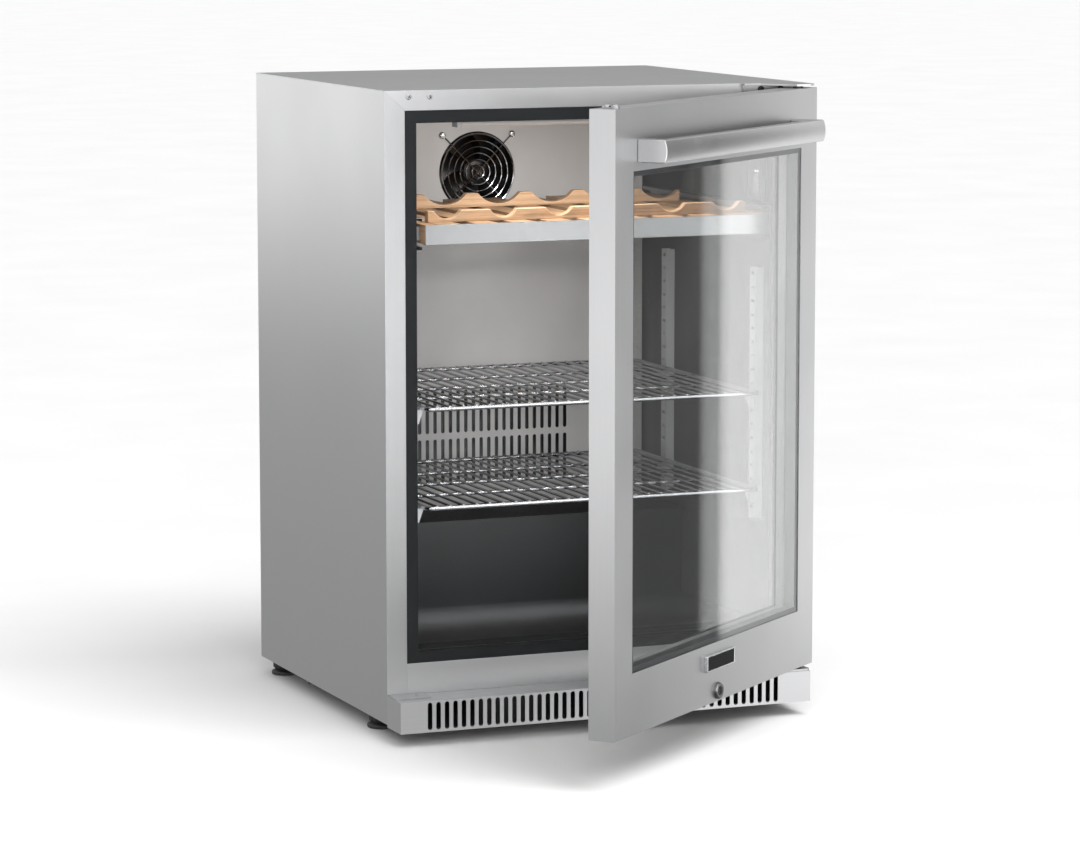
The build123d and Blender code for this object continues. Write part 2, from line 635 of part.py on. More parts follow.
def levelling_foot(x, y):
    """A moulded foot on an M10 stud; it is turned by its flared body."""
    profile = make_face(Polyline((0, 0), (15, 0), (16, 1), (19, FOOT_HEIGHT - 4), (19, FOOT_HEIGHT - 0.3),
                                 (0, FOOT_HEIGHT - 0.3), close=True))
    foot = revolve(Plane.XZ * profile, Axis.Z)
    foot += rod_z(0, 0, FOOT_HEIGHT - 1, FOOT_HEIGHT + 26, STUD_R)
    return Pos(x, y, 0) * foot


# ---- door --------------------------------------------------------------------------------------
GLASS_HALF, GLASS_LOW, GLASS_HIGH = 256.0, 138.5, 776.5
PROFILE_IN, PROFILE_LOW, PROFILE_HIGH = 256.5, 138.0, 777.0
PANE = 4.0
INNER_PANE_BACK = -27.0
LOCK_Z = 81.8
BARREL_R = 9.5
PLUG_R = 6.0
TONGUE_LONG = 27.0
TONGUE_Y = (-26.0, -23.0)
HANDLE_HALF = 237.5
HANDLE_Z = (779.2, 807.7)
HANDLE_PROUD = 40.0
HANDLE_THICK = 16.0
POST_WIDE = 25.0


def hinge_bores():
    """Cutters for the bushes, at the hinge line and at its spare twin."""
    top = rod_z(HINGE_X, HINGE_Y, DOOR_HIGH - BUSH_LONG - 0.5, DOOR_HIGH + 3, BUSH_R)
    low = rod_z(HINGE_X, HINGE_Y, DOOR_LOW - 3, DOOR_LOW + BUSH_LONG + 0.5, BUSH_R)
    return top + low


def tongue_sweep():
    """The disc that the lock's tongue turns through."""
    return rod_y(0, TONGUE_Y[0] - 1, TONGUE_Y[1] + 1, LOCK_Z, TONGUE_LONG + 1)


def door_skin():
    """One stainless pressing: the face with the window in it, and four returns."""
    skin = box(-HALF, HALF, DOOR_FRONT, DOOR_BACK, DOOR_LOW, DOOR_HIGH)
    skin -= box(-HALF + 1, HALF - 1, DOOR_FRONT + 1, DOOR_BACK + 1, DOOR_LOW + 1, DOOR_HIGH - 1)
    skin -= box(-WINDOW_HALF, WINDOW_HALF, DOOR_FRONT - 1, DOOR_FRONT + 2, WINDOW_LOW, WINDOW_HIGH)
    skin -= rod_y(0, DOOR_FRONT - 1, DOOR_FRONT + 2, LOCK_Z, BARREL_R)
    for z in (DOOR_LOW, DOOR_HIGH):
        skin -= rod_z(HINGE_X, HINGE_Y, z - 3, z + 3, BUSH_R)
    return skin - tongue_sweep()


def door_profiles():
    """Foam-filled plastic sections behind the skin: two stiles and two rails."""
    y0, y1 = DOOR_FRONT + 1, DOOR_BACK - 1
    wide = HALF - 1
    left = box(-wide, -PROFILE_IN, y0, y1, DOOR_LOW + 1, DOOR_HIGH - 1)
    right = mirrored(left) - hinge_bores()
    top = box(-PROFILE_IN, PROFILE_IN, y0, y1, PROFILE_HIGH, DOOR_HIGH - 1)
    low = box(-PROFILE_IN, PROFILE_IN, y0, y1, DOOR_LOW + 1, PROFILE_LOW)
    low -= rod_y(0, y0 - 1, TONGUE_Y[0], LOCK_Z, BARREL_R)
    low -= tongue_sweep()
    return [left, right, top, low]


def door_inner_frame():
    """The moulded frame that holds the glass and carries the gasket."""
    face = ring(HALF - 1, DOOR_LOW + 1, DOOR_HIGH - 1, 243, 152, 763, DOOR_BACK - 1, DOOR_BACK)
    lip = ring(GLASS_HALF, GLASS_LOW, GLASS_HIGH, 243, 152, 763, INNER_PANE_BACK, DOOR_BACK - 1)
    return face + lip


def glass_pane(y0):
    return box(-GLASS_HALF, GLASS_HALF, y0, y0 + PANE, GLASS_LOW, GLASS_HIGH)


def glass_spacer():
    y0 = DOOR_FRONT + 1 + PANE
    y1 = INNER_PANE_BACK - PANE
    return ring(GLASS_HALF - 1, GLASS_LOW + 1, GLASS_HIGH - 1, 241.5, 153.2, 762, y0, y1)


def door_gasket():
    """The magnetic seal, which lands on the black trim: four lengths, mitred and welded at the corners."""
    y0, y1 = DOOR_BACK, -GASKET_GAP
    half_out, half_in = 267.5, 255.5
    low_out, low_in = TRIM_BOTTOM + 1.5, OPENING_LOW - 2.4
    high_out, high_in = TRIM_TOP - 1.5, OPENING_HIGH + 3.0
    side = [(-half_out, low_out), (-half_in, low_in), (-half_in, high_in), (-half_out, high_out)]
    low = [(-half_out, low_out), (half_out, low_out), (half_in, low_in), (-half_in, low_in)]
    high = [(-half_out, high_out), (half_out, high_out), (half_in, high_in), (-half_in, high_in)]
    left = prism_y(side, y0, y1)
    return [left, mirrored(left), prism_y(low, y0, y1), prism_y(high, y0, y1)]


def door_handle():
    """A bowed flat bar across the door, standing on a solid post at each end."""
    front = DOOR_FRONT - HANDLE_PROUD
    z0, z1 = HANDLE_Z
    middle = (z0 + z1) / 2
    back = front + HANDLE_THICK
    bow = ThreePointArc((front + 2.6, z0 + 1.2), (front, middle), (front + 2.6, z1 - 1.2))
    corner_high = Line((front + 2.6, z1 - 1.2), (front + 4.0, z1))
    rest = Polyline((front + 4.0, z1), (back, z1), (back, z0), (front + 4.0, z0), (front + 2.6, z0 + 1.2))
    face = Plane.YZ * make_face(bow + corner_high + rest)
    bar = Pos(-HANDLE_HALF, 0, 0) * extrude(face, amount=2 * HANDLE_HALF)
    post = box(-HANDLE_HALF, -HANDLE_HALF + POST_WIDE, back, DOOR_FRONT, z0, z1)
    return bar + post + mirrored(post)


BADGE_HALF, BADGE_LOW, BADGE_HIGH = 41.0, 112.0, 133.0


def badge_plate():
    """A blank plate with a raised rim."""
    plate = box(-BADGE_HALF, BADGE_HALF, DOOR_FRONT - 5, DOOR_FRONT, BADGE_LOW, BADGE_HIGH)
    plate = fillet(plate.edges().filter_by(Axis.Y), 1.2)
    inner = box(-BADGE_HALF + 1.8, BADGE_HALF - 1.8, DOOR_FRONT - 6, DOOR_FRONT - 4.2,
                BADGE_LOW + 1.8, BADGE_HIGH - 1.8)
    return plate - inner


def lock_barrel():
    """The lock's fixed body: a round collar on the face, and a tube through the rail."""
    collar = rod_y(0, DOOR_FRONT - 4, DOOR_FRONT, LOCK_Z, 11)
    collar = chamfer(collar.edges().sort_by(Axis.Y)[0], 1.2)
    tube = rod_y(0, DOOR_FRONT, TONGUE_Y[0] - 1, LOCK_Z, BARREL_R)
    return collar + tube - rod_y(0, DOOR_FRONT - 6, TONGUE_Y[1], LOCK_Z, PLUG_R + FIT)


def lock_plug():
    """The keyed plug that turns in the barrel, with the tongue on its inner end."""
    plug = rod_y(0, DOOR_FRONT - 4.4, TONGUE_Y[0], LOCK_Z, PLUG_R)
    plug -= box(-0.9, 0.9, DOOR_FRONT - 6, DOOR_FRONT + 8, LOCK_Z - 4, LOCK_Z + 4)
    tongue = box(0, TONGUE_LONG - 5, *TONGUE_Y, LOCK_Z - 5, LOCK_Z + 5)
    tongue += rod_y(TONGUE_LONG - 5, *TONGUE_Y, LOCK_Z, 5) + rod_y(0, *TONGUE_Y, LOCK_Z, PLUG_R)
    return plug + tongue


def spare_pivot_cap():
    """A chrome cover with two domed heads over the spare hinge holes on the free corner of the door."""
    foot = box(-HINGE_X - 6.5, -HINGE_X + 6.5, HINGE_Y - 5, HINGE_Y + 5, DOOR_HIGH, DOOR_HIGH + 1.8)
    heads = [rod_z(-HINGE_X, HINGE_Y + shift, DOOR_HIGH, DOOR_HIGH + 5.1, 5.4) for shift in (-5.5, 5.5)]
    for shift, head in zip((-5.0, 5.0), heads):
        foot += rod_z(-HINGE_X, HINGE_Y + shift, DOOR_HIGH, DOOR_HIGH + 1.8, 6.5)
    rounded = [fillet(head.edges().sort_by(Axis.Z)[-1], 2.6) for head in heads]
    return foot + rounded[0] + rounded[1]


# ---- write every node --------------------------------------------------------------------------
os.makedirs("parts", exist_ok=True)

save("side_panel_left", side_panel_left())
save("side_panel_right", mirrored(side_panel_left()))
save("top_panel", top_panel())
save("back_panel", back_panel())
save("rear_grille", rear_grille())
save("lower_front_rail", lower_front_rail())
save("base_pan", base_pan())
save("insulation_underpan", underpan())
save("foam_insulation", *foam())
save("opening_trim", opening_trim())
save("liner_walls", *liner_walls())
save("liner_floor", liner_floor(), compressor_hump())
save("toe_kick_grille", toe_kick_grille())

spare = bottom_plate(-HALF + 1, -247.2, -34, 1.5) - rod_z(*PLATE_SCREW, 50, 70, 2.2)
save("hinge_bracket_top", hinge_bracket_top())
save("hinge_plates_bottom", bottom_plate(247.2, TOE_RIGHT, -50, 3), spare)
save("hinge_pins", *hinge_pins())
save("case_screws", *case_screws())

save("pilasters", *[side for y in PILASTER_Y for side in (pilaster(y), mirrored(pilaster(y)))])
clips = [shelf_clip(y, z - FRAME_R) for y in PILASTER_Y for z in SHELF_Z]
save("shelf_clips", *clips, *[mirrored(clip) for clip in clips])
save("wire_shelf_upper", wire_shelf(SHELF_Z[0]))
save("wire_shelf_lower", wire_shelf(SHELF_Z[1]))
save("wine_rails", wine_rail(), mirrored(wine_rail()))
save("wine_shelf_fascia", wine_fascia())
save("wine_shelf_frame", *wine_frame())
save("wine_shelf_slats", *wine_slats())
save("wine_shelf_cradles", wine_cradle(34, 22, 11), wine_cradle(250, 40, 15))
save("wine_shelf_runners", wine_runner(), mirrored(wine_runner()))

save("evaporator_cover", evaporator_cover())
save("evaporator_coil", *evaporator_coil())
save("evaporator_fan_frame", in_evaporator(fan_frame(EVAP_FAN_DEEP)))
save("evaporator_fan_rotor", in_evaporator(fan_rotor(EVAP_FAN_DEEP)))
save("fan_guard", fan_guard())
save("control_panel", control_panel())
for number, z in enumerate(BUTTON_Z, 1):
    save(f"control_button_{number}", control_button(z))
save("indicator_leds", *indicator_leds())
save("interior_light", interior_light())

save("compressor", compressor())
save("condenser", condenser())
save("condenser_fan_frame", condenser_fan_frame())
save("condenser_fan_rotor", in_compartment(fan_rotor(COND_FAN_DEEP)))
save("controller_box", controller_box())
for end, y in zip(("front", "rear"), FOOT_Y):
    save(f"foot_{end}_left", levelling_foot(-FOOT_X, y))
    save(f"foot_{end}_right", levelling_foot(FOOT_X, y))

save("door_skin", swung(door_skin()))
save("door_profiles", *[swung(profile) for profile in door_profiles()])
save("door_inner_frame", swung(door_inner_frame()))
save("door_glass", *[swung(glass_pane(y0)) for y0 in (DOOR_FRONT + 1, INNER_PANE_BACK - PANE)])
save("glass_spacer", swung(glass_spacer()))
save("door_gasket", *[swung(length) for length in door_gasket()])
save("door_handle", swung(door_handle()))
save("badge_plate", swung(badge_plate()))
save("lock_barrel", swung(lock_barrel()))
save("lock_plug", swung(lock_plug()))
save("hinge_bushes", *[swung(bush) for bush in hinge_bushes()])
save("spare_pivot_cap", swung(spare_pivot_cap()))
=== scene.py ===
import json
import math
import random

import bmesh
import bpy
from mathutils import Matrix, Vector


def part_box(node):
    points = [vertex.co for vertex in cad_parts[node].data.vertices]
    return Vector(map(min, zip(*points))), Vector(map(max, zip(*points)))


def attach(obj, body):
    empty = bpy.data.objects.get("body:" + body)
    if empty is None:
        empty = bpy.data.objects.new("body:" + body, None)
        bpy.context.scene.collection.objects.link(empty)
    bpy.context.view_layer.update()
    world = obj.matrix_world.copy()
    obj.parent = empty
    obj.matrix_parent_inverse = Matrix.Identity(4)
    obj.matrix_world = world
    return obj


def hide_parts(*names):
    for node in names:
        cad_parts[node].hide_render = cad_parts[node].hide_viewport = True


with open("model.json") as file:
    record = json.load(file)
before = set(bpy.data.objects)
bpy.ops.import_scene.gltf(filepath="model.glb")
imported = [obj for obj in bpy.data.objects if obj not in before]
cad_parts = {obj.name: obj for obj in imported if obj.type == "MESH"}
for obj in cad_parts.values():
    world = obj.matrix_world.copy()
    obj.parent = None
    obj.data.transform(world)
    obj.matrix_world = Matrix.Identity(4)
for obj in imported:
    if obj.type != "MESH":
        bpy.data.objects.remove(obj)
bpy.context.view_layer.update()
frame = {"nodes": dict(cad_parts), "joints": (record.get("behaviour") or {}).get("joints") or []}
nodes = frame["nodes"]
joints = {joint["name"]: joint for joint in frame["joints"]}
draw = random.Random(7)

MM = 0.001
FLAT_ANGLE = math.radians(0.05)     # faces that meet at less are one face before its edges are rounded
ROUND_ANGLE = math.radians(35)      # edges that turn by more are rounded
WELD_ANGLE = math.radians(28)       # edges that turn by more stay sharp on a CAD node
TURN_ANGLE = math.radians(40)       # and on a piece that has been rounded
WELD_GAP = 1e-5

# ---- places taken from the frame -------------------------------------------------------------------------
door_joint = joints["door_hinge"]
HINGE = Vector(door_joint["pos_m"])
AJAR = -math.radians(door_joint["range_deg"][0])
DOOR = Matrix.Translation(HINGE) @ Matrix.Rotation(AJAR, 4, "Z") @ Matrix.Translation(-HINGE)


def shut_box(node):
    """Lowest and highest corner of a door node, with the door turned back to shut."""
    back = DOOR.inverted()
    points = [back @ v.co for v in nodes[node].data.vertices]
    low = Vector([min(p[i] for p in points) for i in range(3)])
    high = Vector([max(p[i] for p in points) for i in range(3)])
    return low, high


# ---- materials -------------------------------------------------------------------------------------------
MIX_FACTOR, MIX_ONE, MIX_TWO = 0, 6, 7      # the sockets of a Mix node that blends colours
MIX_RESULT = 2


class Look:
    """A material and its shader, with short calls for the nodes that feed it."""

    def __init__(self, name, **fixed):
        self.material = bpy.data.materials.new(name)
        self.material.use_nodes = True
        self.tree = self.material.node_tree
        self.shader = self.tree.nodes["Principled BSDF"]
        for socket, value in fixed.items():
            self.shader.inputs[socket.replace("_", " ")].default_value = value
        self.here = self.add("ShaderNodeTexCoord").outputs["Object"]

    def add(self, kind, **settings):
        """A new node with its settings."""
        node = self.tree.nodes.new(kind)
        for key, value in settings.items():
            setattr(node, key, value)
        return node

    def wire(self, output, node, socket):
        """Joins an output to a node's input."""
        self.tree.links.new(output, node.inputs[socket])

    def feed(self, output, socket):
        """Joins an output to the shader."""
        self.wire(output, self.shader, socket)

    def stretched(self, scale, turn=0.0):
        """The object's own coordinates, scaled along each axis and turned about Z."""
        mapping = self.add("ShaderNodeMapping")
        mapping.inputs["Scale"].default_value = scale
        mapping.inputs["Rotation"].default_value = (0, 0, turn)
        self.wire(self.here, mapping, "Vector")
        return mapping.outputs["Vector"]

    def noise(self, scale, detail=2.0, turn=0.0, distortion=0.0):
        """Noise with its own scale along each axis, in features a metre."""
        if not hasattr(scale, "__len__"):
            scale = (scale, scale, scale)
        texture = self.add("ShaderNodeTexNoise")
        texture.inputs["Scale"].default_value = 1.0
        texture.inputs["Detail"].default_value = detail
        texture.inputs["Distortion"].default_value = distortion
        self.wire(self.stretched(scale, turn), texture, "Vector")
        return texture.outputs["Fac"]

    def between(self, value, low, high, start=0.3, end=0.7):
        """Maps a noise value to the range low to high."""
        node = self.add("ShaderNodeMapRange")
        node.inputs["From Min"].default_value = start
        node.inputs["From Max"].default_value = end
        node.inputs["To Min"].default_value = low
        node.inputs["To Max"].default_value = high
        self.wire(value, node, "Value")
        return node.outputs["Result"]

    def colours(self, value, *stops):
        """A colour ramp: stops are (place, (r, g, b))."""
        node = self.add("ShaderNodeValToRGB")
        ramp = node.color_ramp
        while len(ramp.elements) < len(stops):
            ramp.elements.new(0.5)
        for element, (place, colour) in zip(ramp.elements, stops):
            element.position = place
            element.color = (*colour, 1.0)
        self.wire(value, node, "Fac")
        return node.outputs["Color"]

    def mixed(self, factor, one, two, blend="MIX"):
        """Two colours blended by a number."""
        node = self.add("ShaderNodeMix", data_type="RGBA", blend_type=blend)
        node.inputs[MIX_FACTOR].default_value = factor
        self.wire(one, node, MIX_ONE)
        self.wire(two, node, MIX_TWO)
        return node.outputs[MIX_RESULT]

    def bump(self, height, strength, depth):
        """Raises the surface by up to depth, in metres, where height is high."""
        node = self.add("ShaderNodeBump")
        node.inputs["Strength"].default_value = strength
        node.inputs["Distance"].default_value = depth
        self.wire(height, node, "Height")
        self.feed(node.outputs["Normal"], "Normal")


def shade(colour, factor):
    """A colour made darker or lighter."""
    return tuple(channel * factor for channel in colour)


def brushed(name, colour, grain, rough=0.34, turn=0.0):
    """Stainless steel with its grain along one axis: fine scratches, a broader streak, and faint clouds."""
    look = Look(name, Metallic=1.0)
    across, along = 1600.0, 14.0
    scale = [across] * 3
    scale["xyz".index(grain)] = along
    fine = look.noise(scale, 3.0, turn)
    broad = look.noise([value * 0.16 for value in scale], 2.0, turn)
    cloud = look.noise(5.0, 3.0)
    tone = look.colours(fine, (0.25, shade(colour, 0.975)), (0.75, shade(colour, 1.02)))
    streak = look.colours(broad, (0.3, (0.99, 0.99, 0.99)), (0.7, (1.0, 1.0, 1.0)))
    look.feed(look.mixed(1.0, tone, streak, "MULTIPLY"), "Base Color")
    wavy = look.between(cloud, rough - 0.03, rough + 0.04)
    rubbed = look.add("ShaderNodeMath", operation="ADD")
    look.wire(wavy, rubbed, 0)
    look.wire(look.between(fine, -0.015, 0.015), rubbed, 1)
    look.feed(rubbed.outputs[0], "Roughness")
    look.bump(fine, 0.03, 0.00005)
    return look.material


def polished(name, colour, rough=0.1):
    """Chrome or bright wire, with slight clouding in its polish."""
    look = Look(name, Metallic=1.0)
    cloud = look.noise(60.0, 3.0)
    look.feed(look.colours(cloud, (0.3, shade(colour, 0.94)), (0.7, colour)), "Base Color")
    look.feed(look.between(look.noise(400.0), rough * 0.7, rough * 1.5), "Roughness")
    look.bump(look.noise(900.0), 0.03, 0.00004)
    return look.material


def zinc(name, colour):
    """Galvanised sheet: spangles of slightly different grey."""
    look = Look(name, Metallic=0.85)
    cells = look.add("ShaderNodeTexVoronoi", feature="F1")
    cells.inputs["Scale"].default_value = 1.0
    look.wire(look.stretched((90.0, 90.0, 90.0)), cells, "Vector")
    grey = look.add("ShaderNodeRGBToBW")
    look.wire(cells.outputs["Color"], grey, "Color")
    tone = look.colours(grey.outputs["Val"], (0.2, shade(colour, 0.93)), (0.8, shade(colour, 1.03)))
    cloud = look.colours(look.noise(9.0, 4.0), (0.3, (0.9, 0.9, 0.9)), (0.7, (1.0, 1.0, 1.0)))
    look.feed(look.mixed(1.0, tone, cloud, "MULTIPLY"), "Base Color")
    look.feed(look.between(grey.outputs["Val"], 0.4, 0.5, 0.2, 0.8), "Roughness")
    look.bump(look.noise(700.0, 3.0), 0.05, 0.00008)
    return look.material


def moulded(name, colour, rough=0.5, grain=900.0, depth=0.00008, **fixed):
    """Moulded plastic with a fine spark-eroded grain and faint flow clouds."""
    look = Look(name, **fixed)
    cloud = look.noise(14.0, 4.0)
    look.feed(look.colours(cloud, (0.3, shade(colour, 0.86)), (0.7, shade(colour, 1.1))), "Base Color")
    texture = look.noise(grain, 3.0)
    look.feed(look.between(texture, rough - 0.06, rough + 0.08), "Roughness")
    look.bump(texture, 0.25, depth)
    return look.material


def powder(name, colour, rough=0.38):
    """Powder-coated steel: a slight orange peel under a satin coat."""
    look = Look(name, Coat_Weight=0.25, Coat_Roughness=0.2)
    cloud = look.noise(11.0, 3.0)
    look.feed(look.colours(cloud, (0.3, shade(colour, 0.93)), (0.7, colour)), "Base Color")
    peel = look.noise(420.0, 2.0)
    look.feed(look.between(peel, rough - 0.04, rough + 0.06), "Roughness")
    look.bump(peel, 0.14, 0.00012)
    return look.material


def liner_sheet(name, colour, rough=0.3, grazing=1.0):
    """Coated aluminium sheet with a faint stucco; grazing is how much it mirrors when seen edge on."""
    look = Look(name, Metallic=0.75, Specular_Tint=(grazing, grazing, grazing, 1.0))
    stucco = look.noise(260.0, 2.0)
    cloud = look.noise(6.0, 3.0)
    look.feed(look.colours(cloud, (0.3, shade(colour, 0.95)), (0.7, colour)), "Base Color")
    look.feed(look.between(stucco, rough - 0.04, rough + 0.06), "Roughness")
    look.bump(stucco, 0.03, 0.00004)
    return look.material


def timber(name, pale, dark, along="y", pitch=0.0):
    """Oiled beech: growth bands and pores drawn out along the grain, and a different tone for each board."""
    look = Look(name, Coat_Weight=0.15, Coat_Roughness=0.35)
    scale = [260.0] * 3
    scale["xyz".index(along)] = 5.0
    bands = look.noise(scale, 5.0, distortion=0.6)
    pore_scale = [2600.0] * 3
    pore_scale["xyz".index(along)] = 70.0
    pores = look.noise(pore_scale, 2.0)
    grain = look.colours(bands, (0.28, dark), (0.5, shade(pale, 0.86)), (0.72, pale))
    flecks = look.colours(pores, (0.33, (0.62, 0.55, 0.5)), (0.45, (1.0, 1.0, 1.0)))
    wood = look.mixed(0.6, grain, look.mixed(1.0, grain, flecks, "MULTIPLY"))
    if pitch:
        split = look.add("ShaderNodeSeparateXYZ")
        look.wire(look.here, split, "Vector")
        step = look.add("ShaderNodeMath", operation="DIVIDE")
        step.inputs[1].default_value = pitch
        look.wire(split.outputs["X"], step, 0)
        whole = look.add("ShaderNodeMath", operation="ROUND")
        look.wire(step.outputs[0], whole, 0)
        chance = look.add("ShaderNodeTexWhiteNoise", noise_dimensions="1D")
        look.wire(whole.outputs[0], chance, "W")
        board = look.colours(chance.outputs["Value"], (0.0, (0.8, 0.76, 0.72)), (1.0, (1.06, 1.03, 1.0)))
        wood = look.mixed(1.0, wood, board, "MULTIPLY")
    look.feed(wood, "Base Color")
    look.feed(look.between(bands, 0.42, 0.58), "Roughness")
    look.bump(pores, 0.2, 0.00012)
    return look.material


def foam_skin(name):
    """The open face of a polyurethane slab."""
    look = Look(name, Roughness=0.9)
    cells = look.noise(300.0, 4.0)
    look.feed(look.colours(cells, (0.3, (0.62, 0.5, 0.26)), (0.7, (0.78, 0.68, 0.42))), "Base Color")
    look.bump(cells, 0.5, 0.0005)
    return look.material


def clear_glass(name):
    """Float glass: clear, a little green, with a trace of dust in its polish."""
    look = Look(name, Transmission_Weight=1.0, IOR=1.52, Base_Color=(0.985, 0.992, 0.99, 1.0))
    look.feed(look.between(look.noise(18.0, 4.0), 0.0, 0.012, 0.4, 0.8), "Roughness")
    look.bump(look.noise(2.5, 1.0), 0.004, 0.0002)
    return look.material


def glowing(name, colour, strength, lens=(0.9, 0.92, 0.95)):
    """A lamp lens or an indicator that glows a little."""
    look = Look(name, Emission_Strength=strength, Emission_Color=(*colour, 1.0), Roughness=0.35)
    look.feed(look.colours(look.noise(300.0), (0.3, shade(lens, 0.93)), (0.7, lens)), "Base Color")
    look.bump(look.noise(500.0), 0.1, 0.0001)
    return look.material


STEEL = (0.47, 0.472, 0.478)
# Painted shade: the side panels, door face, handle and wine-shelf fascia use darker copies of the one stainless
# steel, each tone set to how much light falls on that face.
steel_upright_painted_shade = brushed("steel_upright_painted_shade", shade(STEEL, 0.93), "z")
steel_across = brushed("steel_across", STEEL, "x")
steel_door_painted_shade = brushed("steel_door_painted_shade", shade(STEEL, 0.96), "z", 0.33)
steel_handle_painted_shade = brushed("steel_handle_painted_shade", shade(STEEL, 0.9), "x", 0.25, -AJAR)
steel_plate = brushed("steel_plate", (0.4, 0.403, 0.41), "x", 0.3)
steel_fascia_painted_shade = brushed("steel_fascia_painted_shade", (0.32, 0.323, 0.328), "x", 0.36)
galvanised = zinc("galvanised", (0.56, 0.57, 0.58))
black_trim = moulded("black_trim", (0.0125, 0.0138, 0.0148), 0.6, Specular_IOR_Level=0.17)
black_plastic = moulded("black_plastic", (0.016, 0.016, 0.017), 0.38)
door_plastic = moulded("door_plastic", (0.5, 0.505, 0.51), 0.45)
grey_panel = moulded("grey_panel", (0.035, 0.036, 0.037), 0.6, Specular_IOR_Level=0.05)
button_grey = moulded("button_grey", (0.05, 0.051, 0.053), 0.6, Specular_IOR_Level=0.05)
foot_black = moulded("foot_black", (0.014, 0.014, 0.015), 0.55, 500.0, 0.00015)
seal_black = moulded("seal_black", (0.035, 0.036, 0.038), 0.6, 700.0, 0.00012)
nylon = moulded("nylon", (0.02, 0.02, 0.021), 0.32)
liner = liner_sheet("liner", (0.15, 0.152, 0.155), 0.34, 0.5)
# Painted reflection: the liner floor's near-black colour stands for the dark bottles and cans it reflects.
liner_floor_painted_reflection = liner_sheet("liner_floor_painted_reflection", (0.085, 0.087, 0.089), 0.42, 0.2)
cover_sheet = powder("cover_sheet", (0.7, 0.692, 0.687), 0.4)
strip_paint = powder("strip_paint", (0.74, 0.75, 0.76), 0.32)
strip_grey = powder("strip_grey", (0.4, 0.396, 0.39), 0.45)
enamel = powder("enamel", (0.012, 0.012, 0.013), 0.25)
chrome = polished("chrome", (0.7, 0.71, 0.73), 0.1)
# Painted shade: the shelf wires and the spare pivot cap use chrome darkened well below its own brightness.
wire_chrome_painted_shade = polished("wire_chrome_painted_shade", (0.5, 0.505, 0.52), 0.14)
cap_chrome_painted_shade = polished("cap_chrome_painted_shade", (0.3, 0.302, 0.31), 0.16)
screw_metal = polished("screw_metal", (0.42, 0.42, 0.43), 0.22)
screw_black = polished("screw_black", (0.03, 0.03, 0.032), 0.3)
zinc_plate = polished("zinc_plate", (0.56, 0.56, 0.55), 0.25)
# Painted shade: the lock barrel uses satin chrome darkened to under a third of its brightness.
lock_metal_painted_shade = polished("lock_metal_painted_shade", (0.2, 0.2, 0.205), 0.16)
# Painted shade: the lock plug is near black for the shade inside the lock barrel.
lock_plug_painted_shade = polished("lock_plug_painted_shade", (0.02, 0.02, 0.021), 0.25)
# Painted shade: the base pan is made black for the shade seen through the toe-kick slots.
base_pan_painted_shade = powder("base_pan_painted_shade", (0.012, 0.012, 0.013), 0.45)
badge_black = moulded("badge_black", (0.006, 0.006, 0.007), 0.4, 400.0, 0.00003, Specular_IOR_Level=0.04)
mark_white = moulded("mark_white", (0.85, 0.86, 0.88), 0.4)
rotor_black = moulded("rotor_black", (0.01, 0.01, 0.011), 0.34)
lens = glowing("lens", (1.0, 0.985, 0.96), 0.08, (0.36, 0.355, 0.345))
satin_chrome = polished("satin_chrome", (0.66, 0.665, 0.68), 0.2)
fin_metal = brushed("fin_metal", (0.7, 0.71, 0.72), "z", 0.4)
spacer_metal = brushed("spacer_metal", (0.17, 0.175, 0.18), "z", 0.4)
beech = timber("beech", (0.56, 0.36, 0.21), (0.27, 0.155, 0.085), "y", 52.475 * MM)
beech_across = timber("beech_across", (0.58, 0.38, 0.23), (0.33, 0.2, 0.11), "x")
foam = foam_skin("foam")
glass = clear_glass("glass")
led_glow = glowing("led_glow", (0.8, 0.92, 1.0), 0.5)


# ---- dressing the CAD nodes ------------------------------------------------------------------------------
def shading_group(name, merge, angle):
    """Nodes that weld a mesh's seams and mark its edges sharp where they turn by more than angle."""
    group = bpy.data.node_groups.new(name, "GeometryNodeTree")
    group.interface.new_socket("Geometry", in_out="INPUT", socket_type="NodeSocketGeometry")
    group.interface.new_socket("Geometry", in_out="OUTPUT", socket_type="NodeSocketGeometry")
    start = group.nodes.new("NodeGroupInput")
    end = group.nodes.new("NodeGroupOutput")
    last = start.outputs[0]
    if merge:
        forget = group.nodes.new("GeometryNodeRemoveAttribute")
        forget.inputs["Name"].default_value = "custom_normal"
        weld = group.nodes.new("GeometryNodeMergeByDistance")
        weld.inputs["Distance"].default_value = merge
        group.links.new(last, forget.inputs["Geometry"])
        group.links.new(forget.outputs["Geometry"], weld.inputs["Geometry"])
        last = weld.outputs["Geometry"]
    smooth = group.nodes.new("GeometryNodeSetShadeSmooth")
    smooth.domain = "FACE"
    group.links.new(last, smooth.inputs["Geometry"])
    bend = group.nodes.new("GeometryNodeInputMeshEdgeAngle")
    test = group.nodes.new("FunctionNodeCompare")
    test.data_type = "FLOAT"
    test.operation = "GREATER_THAN"
    test.inputs["B"].default_value = angle
    group.links.new(bend.outputs["Unsigned Angle"], test.inputs["A"])
    crease = group.nodes.new("GeometryNodeSetShadeSmooth")
    crease.domain = "EDGE"
    crease.inputs["Shade Smooth"].default_value = False
    group.links.new(smooth.outputs["Geometry"], crease.inputs["Geometry"])
    group.links.new(test.outputs["Result"], crease.inputs["Selection"])
    group.links.new(crease.outputs["Geometry"], end.inputs[0])
    return group


weld_seams = shading_group("weld_seams", WELD_GAP, WELD_ANGLE)
smooth_turns = shading_group("smooth_turns", 0.0, TURN_ANGLE)


def soften(target, bevel, segments=2):
    """Rounds the sharp edges of an object; bevel is in millimetres."""
    edge = target.modifiers.new("edge", "BEVEL")
    edge.width = bevel * MM
    edge.segments = segments
    edge.limit_method = "ANGLE"
    edge.angle_limit = ROUND_ANGLE
    edge.harden_normals = False


